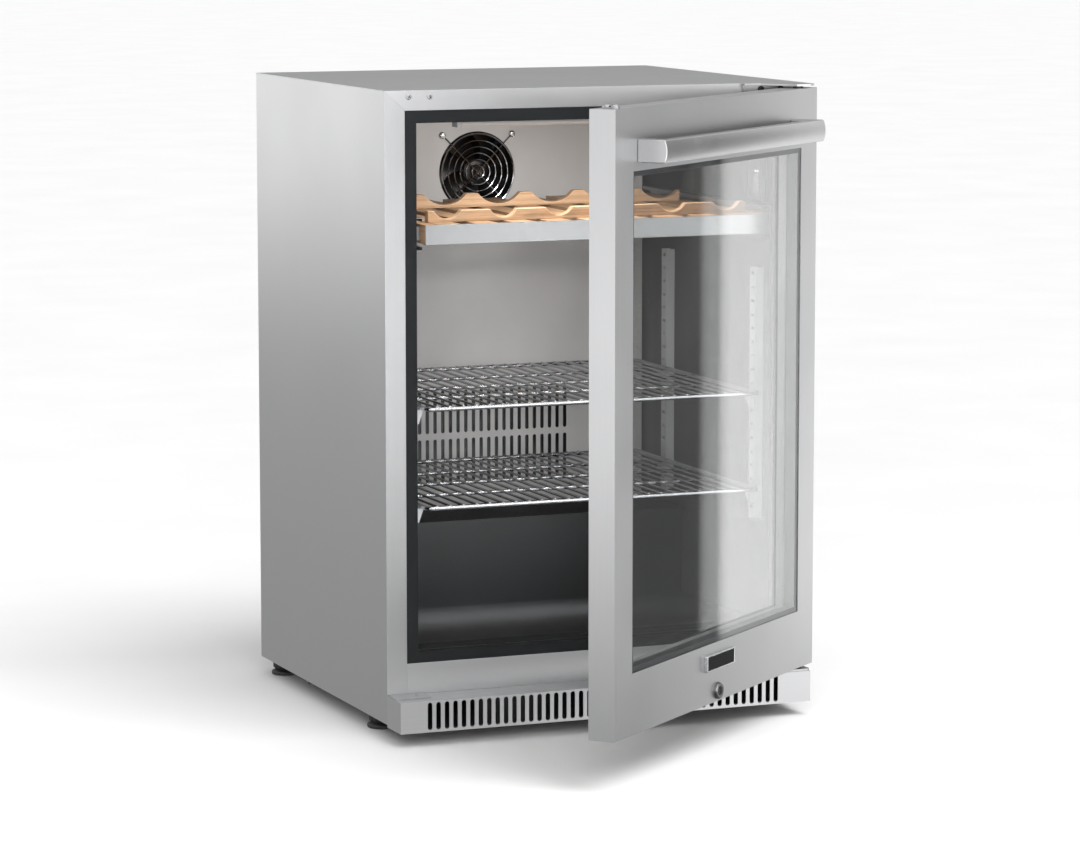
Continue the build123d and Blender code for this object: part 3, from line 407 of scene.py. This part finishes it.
def dress(material, *names, bevel=0.0, segments=2):
    """Gives CAD nodes their material, and their sheet and moulded edges a small radius."""
    for name in names:
        node = nodes[name]
        node.data.materials.clear()
        node.data.materials.append(material)
        node.modifiers.new("weld", "NODES").node_group = weld_seams
        if bevel:
            flatten = node.modifiers.new("flatten", "DECIMATE")
            flatten.decimate_type = "DISSOLVE"
            flatten.angle_limit = FLAT_ANGLE
            soften(node, bevel, segments)
            node.modifiers.new("turns", "NODES").node_group = smooth_turns
            node.modifiers.new("even", "WEIGHTED_NORMAL").keep_sharp = True


dress(steel_upright_painted_shade, "side_panel_left", "side_panel_right", bevel=0.45)
dress(steel_across, "top_panel", "lower_front_rail", bevel=0.4)
dress(steel_across, "toe_kick_grille", bevel=0.35)
dress(steel_door_painted_shade, "door_skin", bevel=0.45)
dress(steel_handle_painted_shade, "door_handle", bevel=1.0, segments=3)
dress(steel_plate, "hinge_bracket_top", "hinge_plates_bottom", bevel=0.3)
dress(satin_chrome, "hinge_pins", bevel=0.3)
dress(lock_metal_painted_shade, "lock_barrel", bevel=0.3)
dress(lock_plug_painted_shade, "lock_plug", bevel=0.2)
dress(cap_chrome_painted_shade, "spare_pivot_cap", bevel=0.4)
dress(galvanised, "back_panel", "rear_grille", "insulation_underpan", bevel=0.3)
# The base pan carries the black painted shade behind the toe-kick slots.
dress(base_pan_painted_shade, "base_pan", bevel=0.3)
dress(foam, "foam_insulation")
dress(black_trim, "opening_trim", bevel=0.6)
dress(liner, "liner_walls")
dress(liner_floor_painted_reflection, "liner_floor")
dress(cover_sheet, "evaporator_cover", bevel=0.3)
dress(screw_metal, "case_screws")
dress(strip_paint, "pilasters", "shelf_clips", bevel=0.3)
dress(wire_chrome_painted_shade, "wire_shelf_upper", "wire_shelf_lower")
dress(chrome, "fan_guard", bevel=0.4)
dress(steel_fascia_painted_shade, "wine_shelf_fascia", "wine_shelf_runners", "wine_rails", bevel=0.4)
dress(beech_across, "wine_shelf_cradles", bevel=0.8)
dress(beech, "wine_shelf_frame", "wine_shelf_slats", bevel=0.8)
dress(fin_metal, "evaporator_coil", "condenser")
dress(black_plastic, "evaporator_fan_frame", "evaporator_fan_rotor", "condenser_fan_frame",
      "condenser_fan_rotor", "controller_box", bevel=0.3)
dress(grey_panel, "control_panel", bevel=0.3)
dress(button_grey, *[f"control_button_{i}" for i in range(1, 5)], bevel=0.3)
dress(led_glow, "indicator_leds", bevel=0.3)
dress(strip_grey, "interior_light", bevel=0.5)
dress(enamel, "compressor", bevel=0.8)
dress(foot_black, "foot_front_left", "foot_front_right", "foot_rear_left", "foot_rear_right", bevel=0.5)
dress(door_plastic, "door_profiles", "door_inner_frame", bevel=0.3)
dress(glass, "door_glass")
dress(spacer_metal, "glass_spacer", bevel=0.3)
dress(seal_black, "door_gasket", bevel=1.0)
dress(satin_chrome, "badge_plate", bevel=0.4)
dress(nylon, "hinge_bushes", bevel=0.4)

# ---- mesh tools ------------------------------------------------------------------------------------------
def facing(point, direction, turn=0.0):
    """A frame at point whose Z axis runs along direction and whose Y axis points up."""
    quat = Vector(direction).to_track_quat("Z", "Y")
    return Matrix.Translation(point) @ quat.to_matrix().to_4x4() @ Matrix.Rotation(turn, 4, "Z")


def quads(bm, one, two, ink, closed=True):
    """Faces between two rings of points; a ring of one point makes a fan."""
    count = max(len(one), len(two))
    for i in range(count if closed else count - 1):
        j = (i + 1) % count
        loop = [one[i % len(one)], one[j % len(one)], two[j % len(two)], two[i % len(two)]]
        bm.faces.new(list(dict.fromkeys(loop))).material_index = ink


def polar(radius, angle, height=0.0):
    """The point at radius and angle round the Z axis."""
    return Vector((radius * math.cos(angle), radius * math.sin(angle), height))


def block(bm, low, high):
    """A box between two corners."""
    rings = []
    for z in (low[2], high[2]):
        around = ((low[0], low[1]), (high[0], low[1]), (high[0], high[1]), (low[0], high[1]))
        rings.append([bm.verts.new((x, y, z)) for x, y in around])
    quads(bm, *rings, 0)
    bm.faces.new(rings[0])
    bm.faces.new(rings[1])


def prism(bm, outline, low, high, place, ink=0):
    """A flat piece whose outline lies in the XY plane of place."""
    rings = [[bm.verts.new(place @ Vector((x, y, z))) for x, y in outline] for z in (low, high)]
    quads(bm, *rings, ink)
    bm.faces.new(rings[0]).material_index = ink
    bm.faces.new(rings[1]).material_index = ink


def band(bm, outer, inner, low, high, place):
    """A flat ring between two outlines with the same number of points."""
    rings = []
    for outline, z in ((outer, low), (outer, high), (inner, high), (inner, low)):
        rings.append([bm.verts.new(place @ Vector((x, y, z))) for x, y in outline])
    for one, two in zip(rings, rings[1:] + rings[:1]):
        quads(bm, one, two, 0)


def rounded(half_x, half_y, radius, steps=5):
    """The outline of a rectangle with rounded corners."""
    points = []
    for quarter, (sx, sy) in enumerate(((1, 1), (-1, 1), (-1, -1), (1, -1))):
        for k in range(steps + 1):
            angle = math.pi / 2 * (quarter + k / steps)
            points.append((sx * (half_x - radius) + radius * math.cos(angle),
                           sy * (half_y - radius) + radius * math.sin(angle)))
    return points


def lathe(bm, profile, place, steps, ink=0, shape=None):
    """Turns (radius, height) points about the Z axis of place; shape varies a radius with its angle."""
    rings = []
    for radius, height in profile:
        if not radius:
            rings.append([bm.verts.new(place @ Vector((0, 0, height)))])
            continue
        ring = []
        for i in range(steps):
            angle = math.tau * i / steps
            reach = shape(angle, radius, height) if shape else radius
            ring.append(bm.verts.new(place @ polar(reach, angle, height)))
        rings.append(ring)
    for one, two in zip(rings, rings[1:]):
        quads(bm, one, two, ink)
    return rings[-1]


def circle(radius, place, steps):
    """Points round the Z axis of place."""
    return [place @ polar(radius, math.tau * i / steps) for i in range(steps)]


def wire(bm, points, radius, sides=8, closed=False):
    """A round wire along points."""
    rings = []
    side = None
    for i, point in enumerate(points):
        ahead = points[(i + 1) % len(points)] if closed or i < len(points) - 1 else point
        behind = points[i - 1] if closed or i else point
        run = (ahead - behind).normalized()
        if side is None:
            side = run.orthogonal()
        side = (side - run * side.dot(run)).normalized()
        up = run.cross(side)
        ring = []
        for k in range(sides):
            angle = math.tau * k / sides
            ring.append(bm.verts.new(point + radius * (side * math.cos(angle) + up * math.sin(angle))))
        rings.append(ring)
    for one, two in zip(rings, rings[1:]):
        quads(bm, one, two, 0)
    if closed:
        quads(bm, rings[-1], rings[0], 0)
    else:
        bm.faces.new(rings[0])
        bm.faces.new(rings[-1])


def cross_head(bm, place, radius, height, shank, ink):
    """A pan-head screw standing height above place, with a tapered cross recess."""
    rim = 0.68 * radius
    side = ((0, -shank), (0.46 * radius, -shank), (0.5 * radius, 0), (radius, 0), (radius, 0.45 * height),
            (0.95 * radius, 0.75 * height), (0.82 * radius, 0.94 * height), (rim, height))
    ring = lathe(bm, side, place, 24, ink)
    long, half = 0.52 * radius, 0.13 * radius
    corner = ((long, -half), (long, half), (half, half))
    outline = []
    for quarter in range(4):
        turn = Matrix.Rotation(quarter * math.pi / 2, 2)
        outline += [turn @ Vector(point) for point in corner]
    top = [bm.verts.new(place @ Vector((x, y, height))) for x, y in outline]
    deep = [bm.verts.new(place @ Vector((0.6 * x, 0.6 * y, 0.25 * height))) for x, y in outline]
    edges = [bm.edges.get((ring[i], ring[i - 1])) for i in range(len(ring))]
    edges += [bm.edges.new((top[i], top[i - 1])) for i in range(len(top))]
    for item in bmesh.ops.triangle_fill(bm, use_beauty=True, edges=edges)["geom"]:
        if isinstance(item, bmesh.types.BMFace):
            item.material_index = ink
    quads(bm, top, deep, ink)
    bm.faces.new(deep).material_index = ink


def piece(name, bm, materials, body, stands_for=(), bevel=0.0):
    """Makes an object of bm that rides on body and may stand for CAD nodes."""
    bmesh.ops.recalc_face_normals(bm, faces=bm.faces)
    mesh = bpy.data.meshes.new(name)
    bm.to_mesh(mesh)
    bm.free()
    for material in materials:
        mesh.materials.append(material)
    made = bpy.data.objects.new(name, mesh)
    bpy.context.scene.collection.objects.link(made)
    if bevel:
        soften(made, bevel)
    made.modifiers.new("turns", "NODES").node_group = smooth_turns
    if bevel:
        made.modifiers.new("even", "WEIGHTED_NORMAL").keep_sharp = True
    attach(made, body)
    if stands_for:
        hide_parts(*stands_for)
    return made


def islands(node):
    """The boxes of a node's separate solids."""
    bm = bmesh.new()
    bm.from_mesh(nodes[node].data)
    bmesh.ops.remove_doubles(bm, verts=bm.verts, dist=WELD_GAP)
    left = set(bm.verts)
    boxes = []
    while left:
        stack = [left.pop()]
        found = []
        while stack:
            vert = stack.pop()
            found.append(vert.co.copy())
            for edge in vert.link_edges:
                other = edge.other_vert(vert)
                if other in left:
                    left.remove(other)
                    stack.append(other)
        low = Vector([min(p[i] for p in found) for i in range(3)])
        high = Vector([max(p[i] for p in found) for i in range(3)])
        boxes.append((low, high))
    bm.free()
    return sorted(boxes, key=lambda pair: tuple(round(value, 4) for value in pair[0]))


# ---- screws ----------------------------------------------------------------------------------------------
BACK_SCREWS = 0.5        # the screws behind this y hold the rear grille
INNER_SCREWS = 0.3       # those behind this one are inside the cold space
GUARD_SCREWS = 0.4       # and those behind this one hold the fan guard
BLACK, BRIGHT, PLATED = range(3)

screws = bmesh.new()
for low, high in islands("case_screws"):
    middle = (low + high) / 2
    radius = (high.x - low.x) / 2
    spin = draw.uniform(0, math.pi / 2)
    if middle.y > BACK_SCREWS:
        head, ink = 2.2 * MM, PLATED
        place = facing((middle.x, high.y - head, middle.z), (0, 1, 0), spin)
    else:
        if middle.y > INNER_SCREWS:
            head, ink = 1.8 * MM, PLATED
        elif middle.x > 0:
            head, ink = 2.6 * MM, BLACK
        else:
            head, ink = 1.6 * MM, BRIGHT
        place = facing((middle.x, low.y + head, middle.z), (0, -1, 0), spin)
    cross_head(screws, place, radius, head, high.y - low.y - head, ink)
piece("case_screw_set", screws, [screw_black, screw_metal, zinc_plate], "cabinet",
      ["case_screws"])

# ---- door: badge inlay and gasket ------------------------------------------------------------------------
low, high = shut_box("badge_plate")
middle = (low + high) / 2
sunk = DOOR @ facing((middle.x, low.y + 0.8 * MM, middle.z), (0, -1, 0))
inlay = bmesh.new()
rim = 1.9 * MM
field = rounded((high.x - low.x) / 2 - rim, (high.z - low.z) / 2 - rim, 0.7 * MM)
prism(inlay, field, 0.02 * MM, 0.42 * MM, sunk)
piece("badge_inlay", inlay, [badge_black], "door", bevel=0.12)

low, high = shut_box("door_gasket")
seal = bmesh.new()
section = ((0.3, 0), (11.7, 0), (11.7, 2.2), (9.6, 3.0), (8.5, 4.4), (10.6, 6.0), (10.9, 6.9), (8.9, 8.1),
           (8.9, 8.9), (11.4, 9.5), (12, 10.3), (12, 14.2), (11.2, 15.1), (6.6, 15.1), (6, 14.8), (5.4, 15.1),
           (0.8, 15.1), (0, 14.2), (0, 10.3), (0.6, 9.5), (3.1, 8.9), (3.1, 8.1), (1.1, 6.9), (1.4, 6.0),
           (3.5, 4.4), (2.4, 3.0), (0.3, 2.2))
corners = []
for right, top in ((0, 0), (1, 0), (1, 1), (0, 1)):
    ring = []
    for inset, stand in section:
        x = high.x - inset * MM if right else low.x + inset * MM
        z = high.z - inset * MM if top else low.z + inset * MM
        ring.append(seal.verts.new(DOOR @ Vector((x, low.y + stand * MM, z))))
    corners.append(ring)
for one, two in zip(corners, corners[1:] + corners[:1]):
    quads(seal, one, two, 0)
piece("bellows_gasket", seal, [seal_black], "door", ["door_gasket"], bevel=0.25)

# ---- levelling feet --------------------------------------------------------------------------------------
FLUTES = 14
FLUTE_DEEP = 1.1 * MM
COLLAR = (9.5 * MM, 21.4 * MM)
STUD_FOOT = 21.75 * MM
STUD_TOP = 48.0
THREADS = 17
PITCH = 1.5


def fluted(angle, radius, height):
    """Finger grooves round the adjusting collar."""
    if COLLAR[0] < height < COLLAR[1] and radius > 14 * MM:
        return radius - FLUTE_DEEP * max(0.0, math.cos(FLUTES * angle)) ** 2
    return radius


foot_side = [(0, 0), (16.6, 0), (18.4, 0.9), (19, 2.2), (19, 4.4), (18.2, 5.6), (14.4, 7.4), (12.6, 8.6),
             (12.6, 9.2), (15.6, 9.7), (16.6, 10.6), (16.8, 12), (16.8, 19.4), (16.4, 20.8), (15.2, 21.5),
             (9.0, 21.7), (4.0, 21.7)]
for k in range(THREADS):
    foot_side += [(4.0, 21.9 + PITCH * k), (4.9, 22.6 + PITCH * k), (4.0, 23.3 + PITCH * k)]
foot_side += [(3.6, STUD_TOP), (0, STUD_TOP)]
for end in ("front", "rear"):
    for side in ("left", "right"):
        node = f"foot_{end}_{side}"
        low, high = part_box(node)
        foot = bmesh.new()
        place = Matrix.Translation(((low[0] + high[0]) / 2, (low[1] + high[1]) / 2, 0))
        lathe(foot, [(r * MM, h * MM) for r, h in foot_side], place, FLUTES * 6, 0, fluted)
        for face in foot.faces:
            if face.calc_center_median().z > STUD_FOOT:
                face.material_index = 1
        piece(f"levelling_{node}", foot, [foot_black, zinc_plate], f"{node}_body", [node])

# ---- interior light --------------------------------------------------------------------------------------
low, high = [Vector(corner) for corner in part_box("interior_light")]
lamp = bmesh.new()
cap = 6 * MM
block(lamp, (low.x + cap, low.y + 1 * MM, low.z + 5 * MM), (high.x - cap, high.y - 1 * MM, high.z))
for start in (low.x, high.x - cap):
    block(lamp, (start, low.y, low.z), (start + cap, high.y, high.z))
half = (high.y - low.y) / 2 - 2 * MM
arc = [(half * math.cos(math.pi * k / 14), -4.7 * MM * math.sin(math.pi * k / 14)) for k in range(15)]
middle_y = (low.y + high.y) / 2
prism(lamp, arc, 0, high.x - low.x - 2 * cap,
      facing((low.x + cap, middle_y, low.z + 5.05 * MM), (1, 0, 0)), 1)
piece("light_strip", lamp, [strip_grey, lens], "cabinet", ["interior_light"], bevel=0.4)

# ---- marks on the buttons --------------------------------------------------------------------------------
for number in range(1, 5):
    low, high = [Vector(corner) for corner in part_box(f"control_button_{number}")]
    place = facing((low.x, (low.y + high.y) / 2, (low.z + high.z) / 2), (-1, 0, 0))
    wide, tall = (high.y - low.y) / 2 - 0.5 * MM, (high.z - low.z) / 2 - 0.45 * MM
    marks = bmesh.new()
    base, proud = -0.05 * MM, 0.1 * MM
    inner = rounded(wide - 0.4 * MM, tall - 0.4 * MM, 1.1 * MM)
    band(marks, rounded(wide, tall, 1.5 * MM), inner, base, proud, place)
    if number == 1:
        angles = [math.tau * k / 20 for k in range(20)]
        around = [(1.15 * MM * math.cos(angle), 1.15 * MM * math.sin(angle)) for angle in angles]
        band(marks, around, [(0.68 * x, 0.68 * y) for x, y in around], base, proud, place)
    elif number == 4:
        prism(marks, rounded(0.7 * MM, 0.7 * MM, 0.69 * MM), base, proud, place)
    else:
        arm, thin = 1.2 * MM, 0.22 * MM
        prism(marks, rounded(arm, thin, 0.1 * MM, 2), base, proud, place)
        if number == 2:
            for sign in (-1, 1):
                centre = place @ Matrix.Translation((0, sign * 0.75 * MM, 0))
                prism(marks, rounded(thin, 0.48 * MM, 0.1 * MM, 2), base, proud, centre)
    piece(f"button_{number}_mark", marks, [mark_white], f"button_{number}")

# ---- evaporator fan guard and both fan wheels ------------------------------------------------------------
GUARD_RINGS = (53.9, 44.9, 35.9, 26.9, 17.9, 9.0)
GUARD_ARM = ((0.0, 2.3), (0.35, 2.3), (0.7, 2.3), (0.82, 2.4), (0.92, 3.0))
EYE = 3.7

low, high = [Vector(corner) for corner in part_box("evaporator_fan_rotor")]
FAN = Vector((0, (low.y + high.y) / 2, (low.z + high.z) / 2))
eye_sites = [(a, b) for a, b in islands("case_screws") if a.y > GUARD_SCREWS and b.y < BACK_SCREWS]
front = min(a.y for a, b in eye_sites)
guard = bmesh.new()
plane = facing((FAN.x, front, FAN.z), (0, -1, 0))
for radius in GUARD_RINGS:
    wire(guard, circle(radius * MM, plane, 72), 1.05 * MM, closed=True)
for low, high in eye_sites:
    eye = Vector(((low.x + high.x) / 2, 0, (low.z + high.z) / 2))
    out = Vector((eye.x - FAN.x, 0, eye.z - FAN.z))
    unit = out.normalized()
    reach = out.length - 3.6 * MM
    along = []
    for step, depth in GUARD_ARM:
        along.append(Vector((FAN.x, front + depth * MM, FAN.z)) + unit * (step * reach / GUARD_ARM[-1][0]))
    wire(guard, along, 1.15 * MM)
    loop = facing((eye.x, front + 3.0 * MM, eye.z), (0, -1, 0))
    wire(guard, circle(EYE * MM, loop, 28), 1.1 * MM, closed=True)
piece("finger_guard", guard, [chrome], "cabinet", ["fan_guard"])


def fan_wheel(name, node, body, direction):
    """A moulded fan wheel: a domed hub with swept, twisted blades."""
    low, high = [Vector(corner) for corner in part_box(node)]
    sizes = high - low
    deep = min(sizes) / 2
    tip = max(sizes) / 2
    place = facing((low + high) / 2, direction)
    hub = 0.36 * tip
    root = 0.96 * hub
    wheel = bmesh.new()
    lathe(wheel, [(0, -deep), (hub - 1.2 * MM, -deep), (hub, -deep + 1.2 * MM), (hub, deep - 3 * MM),
                  (hub - 0.9 * MM, deep - 1.3 * MM), (hub - 3 * MM, deep - 0.4 * MM), (0.5 * hub, deep),
                  (0.45 * hub, deep - 0.8 * MM), (0, deep - 0.8 * MM)], place, 48)
    blades, across, out = 7, 9, 8
    for blade in range(blades):
        faces = []
        for lift in (-0.55, 0.55):
            grid = []
            for i in range(out):
                t = i / (out - 1)
                radius = root + (tip - root) * t
                first = math.tau * blade / blades + 0.5 * t * t
                wide = math.tau / blades * (0.86 - 0.1 * t)
                row = []
                for j in range(across):
                    s = j / (across - 1)
                    angle = first + wide * (s - 0.5)
                    pitch = (0.82 - 0.3 * t) * deep
                    edge = 1 - 0.75 * abs(2 * s - 1) ** 3
                    height = pitch * (2 * s - 1) + 1.4 * MM * math.sin(math.pi * s) + lift * MM * 1.4 * edge
                    row.append(wheel.verts.new(place @ polar(radius, angle, height)))
                grid.append(row)
            faces.append(grid)
        lower, upper = faces
        for grid in (lower, upper):
            for one, two in zip(grid, grid[1:]):
                quads(wheel, one, two, 0, closed=False)
        rims = []
        for grid in (lower, upper):
            rims.append(grid[0] + [row[-1] for row in grid[1:]] + grid[-1][-2::-1]
                        + [row[0] for row in grid[-2:0:-1]])
        quads(wheel, *rims, 0)
    piece(name, wheel, [rotor_black], body, [node])


fan_wheel("evaporator_fan_wheel", "evaporator_fan_rotor", "evaporator_fan", (0, -1, 0))
fan_wheel("condenser_fan_wheel", "condenser_fan_rotor", "condenser_fan", (-1, 0, 0))

# ---- stage: floor, camera, lights, cards for reflections and sky -----------------------------------------
FLOOR_REACH = 60.0
floor_mesh = bpy.data.meshes.new("floor")
floor_corners = [(FLOOR_REACH * x, FLOOR_REACH * y, 0) for x, y in ((-1, -1), (1, -1), (1, 1), (-1, 1))]
floor_mesh.from_pydata(floor_corners, [], [(0, 1, 2, 3)])
floor = bpy.data.objects.new("floor", floor_mesh)
bpy.context.scene.collection.objects.link(floor)
floor_look = Look("floor_paint", Roughness=0.75)
floor_tone = floor_look.colours(floor_look.noise(3.0, 3.0), (0.3, (0.83, 0.83, 0.83)), (0.7, (0.86, 0.86, 0.86)))
floor_look.feed(floor_tone, "Base Color")
floor_mesh.materials.append(floor_look.material)
floor.visible_glossy = False
floor.visible_transmission = False

CAMERA_AT = (-2.1272, -5.0206, 1.1323)
CAMERA_DOWN = 7.677      # degrees
CAMERA_TURN = 22.17
CAMERA_LENS = 138.3
camera_data = bpy.data.cameras.new("camera")
camera_data.lens = CAMERA_LENS
camera_data.clip_end = 200.0
camera = bpy.data.objects.new("camera", camera_data)
camera.location = CAMERA_AT
camera.rotation_euler = (math.radians(90 - CAMERA_DOWN), 0, -math.radians(CAMERA_TURN))
bpy.context.scene.collection.objects.link(camera)
bpy.context.scene.camera = camera


def aim(light, target):
    """Turns a light to face a point."""
    light.rotation_euler = (Vector(target) - light.location).to_track_quat("-Z", "Y").to_euler()


def panel_light(name, place, target, width, height, power, colour=(1, 1, 1)):
    """A soft rectangular light that the camera doesn't see."""
    data = bpy.data.lights.new(name, "AREA")
    data.shape = "RECTANGLE"
    data.size, data.size_y = width, height
    data.energy = power
    data.color = colour
    light = bpy.data.objects.new(name, data)
    light.location = place
    aim(light, target)
    light.visible_camera = False
    bpy.context.scene.collection.objects.link(light)
    return light


sun_data = bpy.data.lights.new("key", "SUN")
sun_data.energy = 2.3
sun_data.angle = math.radians(40)
sun = bpy.data.objects.new("key", sun_data)
sun.location = (1.5, -2.5, 4.5)
sun.visible_glossy = False
aim(sun, (0, 0.2, 0))
bpy.context.scene.collection.objects.link(sun)
panel_light("inside", (0, 0.05, 0.796), (0, 0.25, 0.3), 0.36, 0.03, 1.0, (1.0, 0.96, 0.92))
fill = panel_light("fill", (-1.3, -2.6, 1.3), (0.0, 0.3, 0.45), 1.4, 1.2, 45.0)
fill.visible_glossy = False


def only_in_gloss(panel):
    """A card that metal and glass reflect, and that neither shows nor lights anything else."""
    panel.visible_camera = False
    panel.visible_diffuse = False
    panel.visible_shadow = False
    panel.visible_volume_scatter = False


CARD_PEAK = 4.0          # the most that one of a card's two curves can say
CARD_FOOT = -0.5


def card_paint(name, upright, across):
    """Light that changes up the card and across it: each list holds (place from 0 to 1, brightness)."""
    paint = bpy.data.materials.new(name)
    paint.use_nodes = True
    paint.cycles.emission_sampling = "NONE"
    tree = paint.node_tree
    tree.nodes.clear()
    place = tree.nodes.new("ShaderNodeTexCoord")
    split = tree.nodes.new("ShaderNodeSeparateXYZ")
    tree.links.new(place.outputs["Generated"], split.inputs[0])
    curves = []
    for axis, stops in (("Z", upright), ("X", across)):
        curve = tree.nodes.new("ShaderNodeFloatCurve")
        points = curve.mapping.curves[0].points
        while len(points) < len(stops):
            points.new(0.5, 0.5)
        for point, (where, value) in zip(points, stops):
            point.location = (where, value / CARD_PEAK)
            point.handle_type = "VECTOR"
        curve.mapping.update()
        tree.links.new(split.outputs[axis], curve.inputs["Value"])
        curves.append(curve)
    times = tree.nodes.new("ShaderNodeMath")
    times.operation = "MULTIPLY"
    tree.links.new(curves[0].outputs[0], times.inputs[0])
    tree.links.new(curves[1].outputs[0], times.inputs[1])
    scale = tree.nodes.new("ShaderNodeMath")
    scale.operation = "MULTIPLY"
    scale.inputs[1].default_value = CARD_PEAK * CARD_PEAK
    tree.links.new(times.outputs[0], scale.inputs[0])
    glow = tree.nodes.new("ShaderNodeEmission")
    tree.links.new(scale.outputs[0], glow.inputs["Strength"])
    end = tree.nodes.new("ShaderNodeOutputMaterial")
    tree.links.new(glow.outputs[0], end.inputs["Surface"])
    return paint


def card(name, one, two, upright, across=((0.0, 1.0), (1.0, 1.0)), top=1.7):
    """An upright card from one (x, y) to two (x, y); upright lists (height, brightness)."""
    one, two = Vector((*one, CARD_FOOT)), Vector((*two, CARD_FOOT))
    wide = (two - one).length
    tall = top - CARD_FOOT
    mesh = bpy.data.meshes.new(name)
    mesh.from_pydata([(0, 0, 0), (wide, 0, 0), (wide, 0, tall), (0, 0, tall)], [], [(0, 1, 2, 3)])
    panel = bpy.data.objects.new(name, mesh)
    panel.location = one
    panel.rotation_euler.z = math.atan2(two.y - one.y, two.x - one.x)
    stops = [((height - CARD_FOOT) / tall, value) for height, value in upright]
    mesh.materials.append(card_paint(name + "_paint", stops, across))
    bpy.context.scene.collection.objects.link(panel)
    only_in_gloss(panel)


card("card_back_left", (-1.55, 0.7), (-0.35, 1.75),
     [(-0.5, 0.45), (0, 0.52), (0.17, 0.56), (0.34, 0.6), (0.51, 0.98), (0.68, 1.5), (1.7, 2.0)])
card("card_left", (-1.35, -1.4), (-1.55, 0.7),
     [(-0.5, 0.35), (0, 0.8), (0.1, 1.25), (0.25, 1.72), (0.5, 1.75), (0.66, 1.4), (1.7, 1.1)])
card("card_front", (-1.35, -1.4), (1.25, -1.5),
     [(-0.5, 0.4), (-0.15, 0.8), (-0.02, 1.55), (0.1, 2.6), (0.2, 3.6), (0.42, 3.9), (0.68, 2.9), (1.7, 2.7)],
     [(0, 0.6), (0.5, 0.86), (0.66, 0.9), (0.8, 0.95), (1, 1.05)])
card("card_right", (1.25, -1.5), (1.25, 1.2),
     [(-0.5, 0.6), (0, 1.1), (0.5, 1.0), (0.77, 0.85), (1.7, 0.8)],
     [(0, 2.0), (0.3, 1.6), (0.45, 0.75), (0.53, 0.12), (0.587, 0.12), (0.591, 1.68), (0.8, 1.5), (1, 1.0)])
card("card_low", (0.66, -1.3), (1.2, -1.3), [(-0.5, 1.8), (0.0, 2.6)], top=0.0)
card("card_back", (1.25, 1.2), (-0.35, 1.75), [(-0.5, 0.4), (0, 0.6), (0.85, 0.5), (1.7, 0.42)])

OVER_HEIGHT = 1.9
OVER_GLOW = 2.4
lid_mesh = bpy.data.meshes.new("card_over")
lid_corners = [(x, y, OVER_HEIGHT) for x, y in ((-1.3, -1.4), (1.2, -1.4), (1.2, 0.1), (-1.3, 0.1))]
lid_mesh.from_pydata(lid_corners, [], [(0, 1, 2, 3)])
lid = bpy.data.objects.new("card_over", lid_mesh)
even = [(0, OVER_GLOW ** 0.5), (1, OVER_GLOW ** 0.5)]
lid_mesh.materials.append(card_paint("card_over_paint", even, even))
bpy.context.scene.collection.objects.link(lid)
only_in_gloss(lid)

world = bpy.data.worlds.new("studio")
world.use_nodes = True
bpy.context.scene.world = world
sky = world.node_tree
toward = sky.nodes.new("ShaderNodeTexCoord")
split = sky.nodes.new("ShaderNodeSeparateXYZ")
ramp = sky.nodes.new("ShaderNodeValToRGB")
sky.links.new(toward.outputs["Generated"], split.inputs[0])
sky.links.new(split.outputs["Z"], ramp.inputs["Fac"])
SKY = ((0.0, 0.3), (0.01, 0.94), (0.16, 0.9), (0.34, 0.5), (0.75, 0.6))
stops = ramp.color_ramp.elements
while len(stops) < len(SKY):
    stops.new(0.5)
for stop, (height, brightness) in zip(stops, SKY):
    stop.position = height
    stop.color = (brightness, brightness, brightness, 1)
sky.links.new(ramp.outputs["Color"], sky.nodes["Background"].inputs["Color"])
bpy.context.scene.view_settings.view_transform = "Standard"
